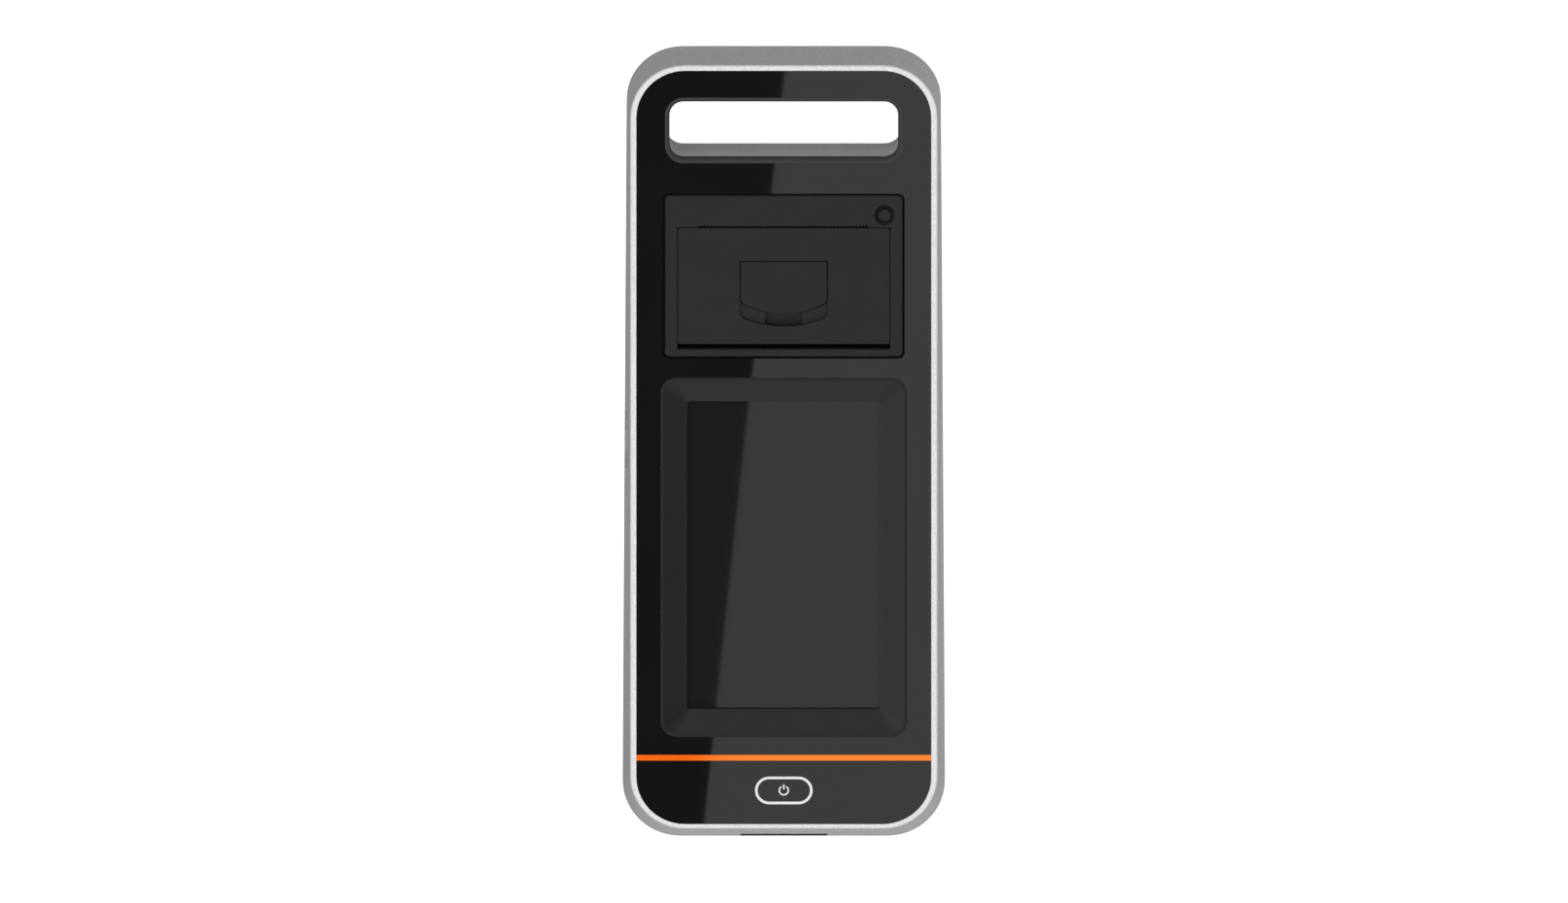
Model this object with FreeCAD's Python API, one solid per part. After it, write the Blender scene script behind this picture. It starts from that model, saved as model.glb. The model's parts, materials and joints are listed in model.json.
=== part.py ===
"""Desk-top rapid test reader: a wedge-shaped case with a sloping operator panel.

Frame of the part: millimetres, +Z up, +X to the operator's right, +Y towards the carrying handle.
The origin is on the desk, under the middle of the case.

Two more frames are used. The panel frame lies on the rim of the operator panel: x as above, y up the
slope, z outward from the panel. The seam frame lies on the plane where the front frame meets the rear
housing, in the same way.
"""
import FreeCAD
import Part
import math
import os

V = FreeCAD.Vector
X_AXIS = V(1, 0, 0)

os.makedirs("parts", exist_ok=True)

# ---------------------------------------------------------------- case
PANEL_TILT = 14.7            # slope of the operator panel, degrees
PANEL_HEIGHT = 91.9          # rim plane above the desk, over the origin
SEAM_TILT = 20.0             # slope of the plane between front frame and rear housing, degrees
SEAM_HEIGHT = 56.2           # seam plane above the desk, over the origin

FRAME_HALF_WIDTH = 52.7      # panel frame: half width of the rim
FRAME_TOP = 133.2            # panel frame: handle end of the rim
FRAME_LOW = -137.6           # panel frame: low end of the rim
FRAME_CORNER = 18.7          # corner radius of the rim
FRAME_BACK_CORNER = 21.0     # corner radius where the walls run out below the desk
SIDE_DRAFT = 3.4             # degrees by which the walls flare away from the rim
TOP_DRAFT = 4.9
LOW_DRAFT = 17.6
RIM_CHAMFER = 0.35
BACK_CHAMFER = 1.1
FRAME_WALL = 2.4
WEB_THICKNESS = 3.0          # web under the overlay
FLANGE_THICKNESS = 2.4       # flange and handle back along the seam plane
BACK_OPENING_INSET = 2.0     # the flange reaches this far past the housing's inner wall at the sides
BACK_OPENING_ENDS = 6.0      # and this far past its outer wall at the ends
BACK_OPENING_CORNER = 12.0
RECESS_GAP = 0.05            # round parts seated in the frame
PAST = 1.0                   # cutters run this far past the face they cut
FAR_PAST = 30.0              # the same for cutters through sloping walls

OVERLAY_HALF_WIDTH = 50.6
OVERLAY_TOP = 131.3
OVERLAY_LOW = -136.0
OVERLAY_CORNER = 16.7
OVERLAY_THICKNESS = 1.4
PANEL_DROP = 0.1             # overlay and inlaid parts lie this much below the rim

STRIPE_CENTRE = -112.5       # orange strip across the overlay
STRIPE_WIDTH = 2.0
STRIPE_DEPTH = 0.7

# ---------------------------------------------------------------- handle
HANDLE_HALF_WIDTH = 39.2
HANDLE_TOP = 120.2
HANDLE_LOW = 100.6
HANDLE_CORNER = 4.8
HANDLE_DRAFT = 2.6           # the hole widens towards the back, degrees
HANDLE_WALL = 2.0
HANDLE_REACH = 60.0          # the hole's wall runs this far back, past the seam
BEZEL_RING_WIDTH = 1.6
BEZEL_RING_DEPTH = 1.6
BEZEL_RING_STEP = 0.25       # the hole's wall starts this far outside the ring
BEZEL_RING_LIP = 0.5         # the ring's seat is this much wider at its low side
BEZEL_MOUTH = 1.0            # chamfer of the ring's mouth, across and deep

# ---------------------------------------------------------------- screen
SCREEN_HALF_WIDTH = 42.3
SCREEN_TOP = 22.4
SCREEN_LOW = -105.1
SCREEN_CORNER = 5.5
SCREEN_LIP = 1.0
WINDOW_HALF_WIDTH = 33.1
WINDOW_TOP = 13.4
WINDOW_LOW = -95.8
WINDOW_CORNER = 0.8
BEZEL_DEPTH = 2.3            # depth of the window edge below the lip
BEZEL_EDGE = 1.0             # thickness left at the window edge
GLASS_MARGIN = 4.4           # touch glass beyond the window
GLASS_THICKNESS = 1.1
LCD_MARGIN = 4.8
LCD_END_MARGIN = 5.7         # display beyond the window at its ends
LCD_THICKNESS = 4.0
LCD_STEP = 0.8               # step round the display's glass
LCD_STEP_MARGIN = 1.5
GLASS_CORNER = 1.5
SCREEN_CLEARANCE = 0.4

# ---------------------------------------------------------------- power button
POWER_CENTRE = -124.1
POWER_HALF_LENGTH = 9.9
POWER_HALF_HEIGHT = 4.9
POWER_RING_WIDTH = 0.9
POWER_GAP = 0.15
POWER_TRAVEL = 0.7
SYMBOL_RADIUS = 1.55
SYMBOL_STROKE = 0.5
SYMBOL_DEPTH = 0.3
SYMBOL_MOUTH = 32.0          # half angle of the ring's gap, degrees
CAP_REACH = 0.6              # the cap reaches this far below the web
POWER_STEM_RADIUS = 2.0
POWER_STEM = 1.6
SWITCH_CLEARANCE = 0.1       # free travel over a pressed switch
SWITCH_HEIGHT = 2.7
SWITCH_PLUNGER_RADIUS = 1.7
SWITCH_PLUNGER = 0.8
SWITCH_HALF_WIDTH = 3.0
SWITCH_BOARD_HALF_LENGTH = 16.0
SWITCH_BOARD_HALF_HEIGHT = 7.0
SWITCH_BOARD_THICKNESS = 1.2
SWITCH_POST_X = 13.5
SWITCH_POST_RADIUS = 1.8

# ---------------------------------------------------------------- printer
PRINTER_HALF_WIDTH = 40.9
PRINTER_TOP = 87.1
PRINTER_LOW = 29.7
PRINTER_CORNER = 1.7
PRINTER_EDGE = 0.9           # rounding of the printer frame's face
PRINTER_GAP = 0.6            # open joint between printer frame and overlay
PRINTER_GROOVE = 1.0         # depth of that joint, down to a step of the overlay
PRINTER_DEPTH = 9.0
PRINTER_FACE = 2.4           # thickness of the printer frame's face
MECHANISM_WALL = 3.1         # printer frame above the mechanism's space
MECHANISM_CLEAR = 1.0        # space past the feed button
DOOR_HALF_WIDTH = 36.3
DOOR_TOP = 75.4
DOOR_LOW = 34.1
DOOR_GAP = 0.3
DOOR_HINGE_GAP = 1.7         # open joint along the hinge
DOOR_THICKNESS = 2.4
HINGE_RADIUS = 2.1           # barrel of the door round its pin
HINGE_EDGE = 0.9             # rounding of the door's face along the hinge
DOOR_CORNER = 0.8
PIN_SEAT = 2.0               # hinge pin held this deep in the frame at each end
PIN_RADIUS = 1.0
RUNNING_CLEARANCE = 0.05
PAPER_HALF_WIDTH = 29.3      # inside of the paper well
ROLL_RADIUS = 18.5           # inside of the paper well's round floor
ROLL_CENTRE_Y = 48.0
ROLL_CENTRE_Z = -27.0
WELL_WALL = 1.4
FLANGE_INSET = 1.0           # well flange inside the printer frame's skirt
WELL_CUT = 3.0               # side walls end this far before the pivot line
WELL_STEP = 1.0              # rear wall is lower from here on
WELL_STEP_DEPTH = 2.0
NUB_DROP = 0.8               # latch nubs below the hooks
NUB_NEAR = 2.4               # and from the pivot line
NUB_FAR = 3.8
NUB_HEIGHT = 1.6
NUB_SINK = 0.5
NUB_PROUD = 1.5

LEVER_HALF_WIDTH = 14.9
LEVER_TOP = 63.5
LEVER_SIDE = 49.0            # ends of the curved lip
LEVER_MIDDLE = 45.2          # lowest point of the curved lip
SCOOP_SIDE = 43.9
SCOOP_MIDDLE = 40.5
LEDGE_DEPTH = 0.9            # ledge round the lip, below the door's face
SCOOP_DEPTH = 2.5            # finger pit below the door's face
SCOOP_HALF_WIDTH = 6.4
SCOOP_UNDER = 2.5            # the pit reaches this far under the lever
SCOOP_WALL = 1.2
LEVER_GAP = 0.3
LEVER_CORNER = 3.0
LEVER_THICKNESS = 1.5
LEVER_LIFT = 0.4             # space under the lever
LEVER_NOSE = 2.5             # barrel of the lever round its pivot
LEVER_CREST = 0.35           # rounding of the edges of the lever's face
SADDLES = (16.6, 27.6)       # latch shaft bearings under the door
SADDLE_WIDTH = 2.0
SADDLE_HALF_SIZE = 2.2
CHANNEL_GAP = 0.3            # round the shaft where it runs free
LATCH_REACH = 12.0           # latch hooks below the pivot
LATCH_LEFT = 31.0            # latch hooks across the unit
LATCH_THICKNESS = 1.3
HOOK_EYE = 1.9               # round eye of a hook on its shaft
HOOK_BACK = 1.2              # hook arm behind and in front of the pivot line
HOOK_FRONT = 0.9
HOOK_BARB = 1.0
HOOK_SLOPE = 1.2
EAR_THICKNESS = 1.6          # platen ears of the door
EAR_GAP = 0.3                # between paper well and ears
EAR_LOW = 2.4                # ears round the platen shaft
EAR_HIGH = 3.4
EAR_BELOW = 3.0

PLATEN_Y = 68.8
PLATEN_Z = -10.0
PLATEN_RADIUS = 4.5
PLATEN_SHAFT = 1.5
PAPER_GAP = 0.3
GEAR_MODULE = 0.6
PLATEN_TEETH = 16
IDLER_TEETH = 22
MOTOR_TEETH = 14
GEAR_LEFT = 32.6             # gear faces across the unit
GEAR_WIDTH = 2.5
FEED_MOTOR_TURN = -16.0      # direction from idler to motor, degrees
FEED_MOTOR_RADIUS = 7.5
FEED_MOTOR_LENGTH = 17.0
PLATE_THICKNESS = 1.2        # mechanism plate
PLATE_DROP = 2.9             # its top below the latch hooks
PLATE_NEAR = 5.0             # its low end from the idler
PLATE_SETBACK = 1.5          # its arm behind the door opening
PLATE_FOOT = 2.0             # its foot under the printer frame's skirt
SHAFT_CLEAR = 0.5
SHAFT_END = 0.1
LEAD_FAR = 11.0              # lead block on the feed motor
LEAD_NEAR = 4.0
LEAD_SINK = 2.0
LEAD_PROUD = 1.5
LEAD_HALF = 3.0
IDLER_PIN_RADIUS = 1.5
IDLER_COLLAR = 0.9
MOTOR_SHAFT_RADIUS = 1.0
HEAD_TURN = -25.0            # direction from platen to print head, degrees
HEAD_LOW = -3.0              # the head's face, along the paper
HEAD_HIGH = 4.3
HEAD_STRIP = 1.0             # ceramic strip
HEAD_SINK = 2.2              # heat sink behind it
HEAD_WEB = 1.7
HEAD_SHORT = 2.0             # the head ends this far inside the paper well

TEAR_HALF_WIDTH = 29.5
TOOTH_PITCH = 1.1
TOOTH_HEIGHT = 1.0
TEAR_THICKNESS = 0.9
TEAR_SLOT = 1.2              # free slot under the teeth
TEAR_WIDTH = 3.8             # bar from the tips of its teeth to its rear edge
TEAR_DROP = 0.05             # below the printer frame's face

FEED_X = 34.6
FEED_Y = 80.1
FEED_RADIUS = 2.1
FEED_RECESS = 3.65
FEED_RECESS_DEPTH = 1.5
FEED_PROUD = 0.5
FEED_TRAVEL = 0.8
FEED_GUIDE = 0.1
FEED_CONE_STEP = 0.4         # foot of the button's recess round the button
FEED_CROWN = 0.4
FEED_COLLAR = 0.45
FEED_COLLAR_HEIGHT = 0.9
FEED_COLLAR_GAP = 0.05
FEED_STEM = 1.8              # button below the printer frame's face plate
FEED_BOARD = 1.0
FEED_BOARD_NEAR = 3.4        # the board's low end from the button
FEED_PLUNGER_RADIUS = 1.3
FEED_SWITCH_HALF = 2.4
EDGE_CLEAR = 0.2

# ---------------------------------------------------------------- rear housing
DESK_GAP = 2.7               # underside of the bottom cover above the desk
COVER_EDGE = 0.9             # visible edge of the bottom cover
HOUSING_HALF_WIDTH = 51.0
HOUSING_WALL = 2.5
HOUSING_END_INSET = 3.48     # low end behind the frame's low wall, above the bottom rounding
HOUSING_FRONT_HEIGHT = 8.9
REAR_FOOT = 87.35            # rear wall at its foot
REAR_LEDGE = 91.7            # rear wall under the ledge
REAR_UPPER = 96.0            # rear wall over the ledge
REAR_TOP = 98.0              # rear wall at the seam
REAR_FOOT_HEIGHT = 6.1
LEDGE_HEIGHT = 46.7
LEDGE_RISE = 5.8
EDGE_ROUND = 1.7             # bottom edge rounding
REAR_CORNER_FOOT = 9.3
REAR_CORNER_TOP = 16.0
FRONT_CORNER = 15.0
FRONT_RUN = 1.9              # the low end runs in this much more than the sides at its foot
HOUSING_REACH = 110.0        # the walls are drawn up to here, then cut by the seam plane
FOOT_INSET = 13.0            # feet and cover screws from the housing's side
FOOT_X = HOUSING_HALF_WIDTH - FOOT_INSET
FOOT_REAR_INSET = 12.15      # rear feet from the rear wall's foot
FOOT_END_INSET = 17.85       # front feet from the housing's low end
FOOT_BOSS = 7.9
FOOT_BOSS_LOW = 6.7
FOOT_RADIUS = 5.0
FOOT_HEIGHT = 1.1
FOOT_EDGE = 0.3
COVER_SPIGOT = 2.0
COVER_ROUND = 0.5
COVER_INSET = 1.0            # cover inside the housing's rounded foot
COVER_LIFT = 0.05            # housing bosses over the cover's spigot
SPIGOT_INSET = 3.4
SPIGOT_GAP = 0.2

# ---------------------------------------------------------------- cassette drawer
TRAY_FRONT_HALF_WIDTH = 14.8
TRAY_FRONT_LOW = 9.0
TRAY_FRONT_TOP = 21.7
TRAY_GAP = 0.3
TRAY_HALF_WIDTH = 13.6
TRAY_LOW = 10.0
TRAY_TOP = 19.6
TRAY_LENGTH = 101.6
TRAY_FRONT_THICKNESS = 3.0
CASSETTE_HALF_WIDTH = 10.4
CASSETTE_LENGTH = 71.0
CASSETTE_DEPTH = 5.0
CASSETTE_MARGIN = 5.0        # from the back of the tray front to the cassette
TRAY_TRAVEL = 72.0
RACK_MODULE = 0.8
RACK_TEETH = 14
PINION_SETBACK = 20.1        # pinion behind the tray body's front
RACK_PITCH_X = 13.5
RACK_LOW = 12.0
RACK_HEIGHT = 4.0
BED_THICKNESS = 2.0
NOTCH_RADIUS = 1.35
BED_WALL = 2.0
BED_FOOT = 4.0
BED_SETBACK = 6.1            # the bed starts behind the tray's front by this
BED_STOP = 1.0               # from the closed tray to the bed's end stop
BED_BEYOND = 3.0
BED_DROP = 1.0               # side walls below the tray's top
LIP_HEIGHT = 1.7
LIP_LEFT = 1.5               # lips over the tray
LIP_RIGHT = 1.2
CASSETTE_CORNER = 1.5
THUMB_RADIUS = 7.5
THUMB_RISE = 4.0             # centre of the thumb cut above the tray
THUMB_PLACE = 0.35           # along the cassette
LIGHT_HALF_WIDTH = 4.0       # light trap behind the cassette
LIGHT_END = 6.0              # solid ends of the tray
RACK_WEB = 1.1               # rack behind the roots of its teeth
PINION_SHAFT_RADIUS = 1.5
PINION_STUB = 0.8            # shaft below the pinion
PINION_ROOM = 0.8            # space round the pinion in the bed
PINION_CLEAR = 0.2           # pinion narrower than the rack at each side
MOTOR_RADIUS = 8.0
MOTOR_HEIGHT = 16.0
MOTOR_CAP_RADIUS = 5.0
MOTOR_CAP_HEIGHT = 1.5
MOTOR_LIFT = 2.6             # motor seat above the tray
BRACKET_THICKNESS = 1.6
BRACKET_HALF_LENGTH = 9.0
BRACKET_NEAR = 4.5           # bracket plate from the pinion towards the tray
BRACKET_REACH = 9.0          # and away from it
BRACKET_FOOT = 5.0
BRACKET_HOLE = 2.6
OPTICS_HALF_LENGTH = 20.0
OPTICS_HALF_WIDTH = 21.0
OPTICS_HEIGHT = 16.0
OPTICS_LIFT = 8.4            # over the tray
OPTICS_LEG = 4.0
OPTICS_PLACE = 0.66          # along the cassette
LENS_RADIUS = 6.0
LENS_LENGTH = 11.4
LENS_LIFT = 4.0              # lens mouth over the tray
LENS_WALL = 1.2

# ---------------------------------------------------------------- inside
BOARD_HALF_WIDTH = 44.5
BOARD_TOP = -4.0
BOARD_LOW = -96.0
BOARD_DEPTH = -14.0
BOARD_THICKNESS = 1.6
CELL_RADIUS = 6.2            # coin cell on the main board
CELL_HEIGHT = 2.2
POST_RADIUS = 2.4
POST_INSET = 3.5
POST_ROOT = 0.5              # posts run this far into the web
SCREW_RADIUS = 1.45
SCREW_HEAD = 2.9
SCREW_HEAD_HEIGHT = 1.9
BOSS_RADIUS = 4.0
SCREW_PILOT = 1.5            # screw holes end this far below the top of their boss
SCREW_CLEARANCE = 0.2
HEAD_CLEARANCE = 0.3
HEAD_ROUND = 0.5
CROSS_LENGTH = 1.6           # half length of the cross recess
CROSS_WIDTH = 0.35
CROSS_DEPTH = 1.1
TAB_THICKNESS = 4.0
TAB_HALF_LENGTH = 4.5
FRAME_BOSS_HEIGHT = 9.0
RIB_HALF = 1.0               # half thickness of the ribs on the bosses
FRAME_RIB = 8.0
FRAME_SCREW_INSET = 6.5      # frame screws from the housing's side
FRAME_SCREW_X = HOUSING_HALF_WIDTH - FRAME_SCREW_INSET
FRAME_SCREW_GRIP = 6.0
COVER_SCREW_LENGTH = 10.0
FRAME_SCREW_Y = (-92.0, -32.0, 66.0)
COVER_SCREW_Y = (-97.0, 57.0)
COVER_BOSS_HEIGHT = 12.0
ANTENNA_GAP = 0.4            # between the left wall at the rim and the antenna board
ANTENNA_X = -(FRAME_HALF_WIDTH - FRAME_WALL - ANTENNA_GAP)
ANTENNA_THICKNESS = 1.2
ANTENNA_CHIP = 3.0
ANTENNA_HALF_LENGTH = 20.0
ANTENNA_RIB = 6.0            # rib depth, and its place from the board's ends
ANTENNA_HEIGHT = 20.0
ANTENNA_LIFT = 1.0           # above the frame's back flange
BATTERY_FRONT = 18.0
BATTERY_REAR = 74.0
BATTERY_RADIUS = 9.2
BATTERY_CELLS = 3
BATTERY_CAP = 2.0
BATTERY_GAP = 0.3            # between the pack's ends and the screw bosses
IO_BOARD_Y = 80.5
IO_THICKNESS = 1.6
IO_HEIGHT = 22.0             # above the foot of the connectors
IO_SIDE_SPACE = 10.5
PORT_GAP = 0.3
PORT_BASE = 12.0
PORT_SINK = 0.3              # connector ends inside the rear wall
JACK_X = -31.0
JACK_SIZE = (9.0, 11.0)
JACK_BORE = 3.1
JACK_PIN = 1.0
JACK_RISE = 0.6              # bore above the middle of the body
USB_X = -6.0
USB_SIZE = (13.4, 15.6)
USB_MOUTH = (12.2, 5.2)
USB_FIRST = 1.3              # lower mouth above the foot
USB_TIER = 7.4
USB_TONGUE = (11.0, 1.8)
USB_TONGUE_RISE = 3.1
NET_X = 22.0
NET_SIZE = (15.9, 13.4)
NET_MOUTH = (11.8, 6.8)
NET_MOUTH_RISE = 4.2
NET_LATCH = (6.0, 3.4)
NET_LATCH_RISE = 1.6
NET_CONTACTS = (8.4, 1.5)
NET_CONTACTS_RISE = 10.0
NET_CONTACTS_SINK = 2.5
PORT_FLOOR = 1.0             # closed back of the connector mouths

PANEL = FreeCAD.Placement(V(0, 0, PANEL_HEIGHT), FreeCAD.Rotation(X_AXIS, PANEL_TILT))
SEAM = FreeCAD.Placement(V(0, 0, SEAM_HEIGHT), FreeCAD.Rotation(X_AXIS, SEAM_TILT))


# ================================================================ helpers
def slope(degrees):
    """Rise over run of an angle in degrees."""
    return math.tan(math.radians(degrees))


def placed(shape, frame):
    """A copy of a shape drawn in one of the sloping frames, set into the part's frame."""
    moved = shape.copy()
    moved.Placement = frame.multiply(moved.Placement)
    return moved


def box(x0, x1, y0, y1, z0, z1):
    """Block between two corners."""
    return Part.makeBox(x1 - x0, y1 - y0, z1 - z0, V(x0, y0, z0))


def rod(radius, start, end):
    """Round bar between two points."""
    run = end - start
    return Part.makeCylinder(radius, run.Length, start, run)


def outline(x0, x1, y0, y1, low_radius, high_radius, z):
    """Closed rounded rectangle at height z: four straight sides and four arcs."""
    corners = (
        (x1 - low_radius, y0 + low_radius, low_radius, -90),
        (x1 - high_radius, y1 - high_radius, high_radius, 0),
        (x0 + high_radius, y1 - high_radius, high_radius, 90),
        (x0 + low_radius, y0 + low_radius, low_radius, 180),
    )
    arcs = []
    for centre_x, centre_y, radius, start in corners:
        points = []
        for turn in (0, 45, 90):
            angle = math.radians(start + turn)
            points.append(V(centre_x + radius * math.cos(angle), centre_y + radius * math.sin(angle), z))
        arcs.append(points)
    edges = []
    for index, points in enumerate(arcs):
        following = arcs[(index + 1) % 4][0]
        edges.append(Part.Arc(points[0], points[1], points[2]).toShape())
        if (following - points[2]).Length > 1e-6:
            edges.append(Part.makeLine(points[2], following))
    return Part.Wire(edges)


def slab(x0, x1, y0, y1, radius, z0, z1):
    """Rounded rectangular plate from z0 up to z1."""
    face = Part.Face(outline(x0, x1, y0, y1, radius, radius, z0))
    return face.extrude(V(0, 0, z1 - z0))


def centred_slab(half_width, y0, y1, radius, z0, z1):
    """Rounded plate that is symmetric about the middle plane of the unit."""
    return slab(-half_width, half_width, y0, y1, radius, z0, z1)


def loft(wires):
    """Solid with straight rulings between outlines."""
    return Part.makeLoft(wires, True, True)


def polygon_prism(points, run):
    """Solid from a closed polygon carried along a run."""
    wire = Part.makePolygon(list(points) + [points[0]])
    return Part.Face(wire).extrude(run)


def across(profile, x0, x1):
    """Solid from a (y, z) profile carried across the unit from x0 to x1."""
    points = [V(x0, y, z) for y, z in profile]
    return polygon_prism(points, V(x1 - x0, 0, 0))


def united(shapes):
    """One solid from shapes that overlap or share faces."""
    whole = shapes[0].multiFuse(shapes[1:])
    return whole.removeSplitter()


def minus(shape, tools):
    """A shape with every tool cut away."""
    return shape.cut(Part.makeCompound(tools) if len(tools) > 1 else tools[0])


def only_solid(shape):
    """The single solid inside a result, or the largest of them where a cut left chips."""
    return max(shape.Solids, key=lambda solid: solid.Volume)


def above_seam(offset):
    """Space in front of the seam plane, moved outward from it by an offset."""
    reach = 400.0
    return placed(box(-reach, reach, -reach, reach, offset, reach), SEAM)


def flat_edges(shape, frame, level):
    """Edges of a shape that lie in the plane z = level of a sloping frame."""
    back = frame.inverse()
    found = []
    for edge in shape.Edges:
        heights = [back.multVec(vertex.Point).z for vertex in edge.Vertexes]
        middle = edge.valueAt((edge.FirstParameter + edge.LastParameter) / 2.0)
        heights.append(back.multVec(middle).z)
        if all(abs(height - level) < 1e-4 for height in heights):
            found.append(edge)
    return found


def save(name, shape):
    """Write one node, with its number of solids and its volume."""
    shape.exportStep("parts/" + name + ".step")
    print(name, len(shape.Solids), round(shape.Volume, 1), "valid" if shape.isValid() else "INVALID")


# ================================================================ gears
GEAR_PRESSURE = math.radians(20.0)
GEAR_BACKLASH = 0.12
GEAR_ADDENDUM = 0.82
GEAR_DEDENDUM = 1.2


def involute(angle):
    """Involute function of a pressure angle."""
    return math.tan(angle) - angle


def gear_points(teeth, module, turn):
    """Outline of a spur gear about the origin, one tooth centred at the angle turn."""
    pitch = teeth * module / 2.0
    base = pitch * math.cos(GEAR_PRESSURE)
    root = pitch - GEAR_DEDENDUM * module
    tip = pitch + GEAR_ADDENDUM * module
    half_tooth = math.pi / (2.0 * teeth) * (1.0 - GEAR_BACKLASH) + involute(GEAR_PRESSURE)
    levels = [root, max(base, root + 0.05 * module), pitch, (pitch + tip) / 2.0, tip]
    flank = []
    for radius in levels:
        pressure = math.acos(min(1.0, base / radius))
        flank.append((radius, half_tooth - involute(pressure)))
    points = []
    for index in range(teeth):
        centre = turn + 2.0 * math.pi * index / teeth
        points += [(radius, centre - half) for radius, half in flank]
        points += [(radius, centre + half) for radius, half in reversed(flank)]
    return [(radius * math.cos(angle), radius * math.sin(angle)) for radius, angle in points]


def meshing_turn(turn, teeth, toward, other_teeth):
    """Turn of a gear so that it meshes with one that it meets in the direction toward."""
    lag = (toward - turn) % (2.0 * math.pi / teeth)
    return toward + math.pi + lag * teeth / other_teeth + math.pi / other_teeth


# ================================================================ front frame
def frame_outline(inset, level):
    """Outline of the frame's walls at a level of the panel frame, moved inward by an inset."""
    half = FRAME_HALF_WIDTH - level * slope(SIDE_DRAFT) - inset
    top = FRAME_TOP - level * slope(TOP_DRAFT) - inset
    low = FRAME_LOW + level * slope(LOW_DRAFT) + inset
    corner = FRAME_CORNER + (FRAME_BACK_CORNER - FRAME_CORNER) * (-level / PANEL_HEIGHT) - inset
    return outline(-half, half, low, top, corner, corner, level)


def handle_outline(margin, level):
    """Outline of the handle hole at a level of the panel frame, widened by a margin."""
    flare = margin - level * slope(HANDLE_DRAFT)
    half = HANDLE_HALF_WIDTH + flare
    corner = HANDLE_CORNER + flare
    return outline(-half, half, HANDLE_LOW - flare, HANDLE_TOP + flare, corner, corner, level)


FRAME_REACH = PANEL_HEIGHT
WEB_TOP = -(PANEL_DROP + OVERLAY_THICKNESS)
WEB_LOW = WEB_TOP - WEB_THICKNESS
LCD_HALF_WIDTH = WINDOW_HALF_WIDTH + LCD_MARGIN
LCD_TOP = WINDOW_TOP + LCD_END_MARGIN
LCD_LOW = WINDOW_LOW - LCD_END_MARGIN
BEZEL_LOW = -(PANEL_DROP + BEZEL_DEPTH + BEZEL_EDGE)
GLASS_LOW = BEZEL_LOW - GLASS_THICKNESS
LCD_BACK = GLASS_LOW - LCD_THICKNESS
PRINTER_LOW_FACE = -PRINTER_DEPTH
ANTENNA_FOOT = FLANGE_THICKNESS + ANTENNA_LIFT


def frame_outer():
    """Outer form of the front frame: drafted walls, chamfered rim, cut off by the seam plane."""
    body = loft([
        frame_outline(RIM_CHAMFER, 0.0),
        frame_outline(0.0, -RIM_CHAMFER),
        frame_outline(0.0, -FRAME_REACH),
    ])
    return only_solid(placed(body, PANEL).common(above_seam(0.0)))


def tray_opening(gap):
    """Space of the drawer front, widened by a gap at its sides and top, through the low wall."""
    half = TRAY_FRONT_HALF_WIDTH + gap
    return box(-half, half, TRAY_BODY_FRONT - FAR_PAST, TRAY_BODY_FRONT + FAR_PAST, TRAY_FRONT_LOW - gap,
               TRAY_FRONT_TOP + gap)


def printer_cut(gap, low, high):
    """Space of the printer frame in the panel, widened by a gap."""
    return centred_slab(PRINTER_HALF_WIDTH + gap, PRINTER_LOW - gap, PRINTER_TOP + gap, PRINTER_CORNER + gap, low,
                        high)


def screen_cut(gap, low, high):
    """Space of the screen bezel in the panel, widened by a gap."""
    return centred_slab(SCREEN_HALF_WIDTH + gap, SCREEN_LOW - gap, SCREEN_TOP + gap, SCREEN_CORNER + gap, low, high)


def power_cut(gap, low, high):
    """Space of the power button's light ring in the panel, widened by a gap."""
    radius = POWER_HALF_HEIGHT + gap
    return centred_slab(POWER_HALF_LENGTH + gap, POWER_CENTRE - radius, POWER_CENTRE + radius, radius, low, high)


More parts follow.
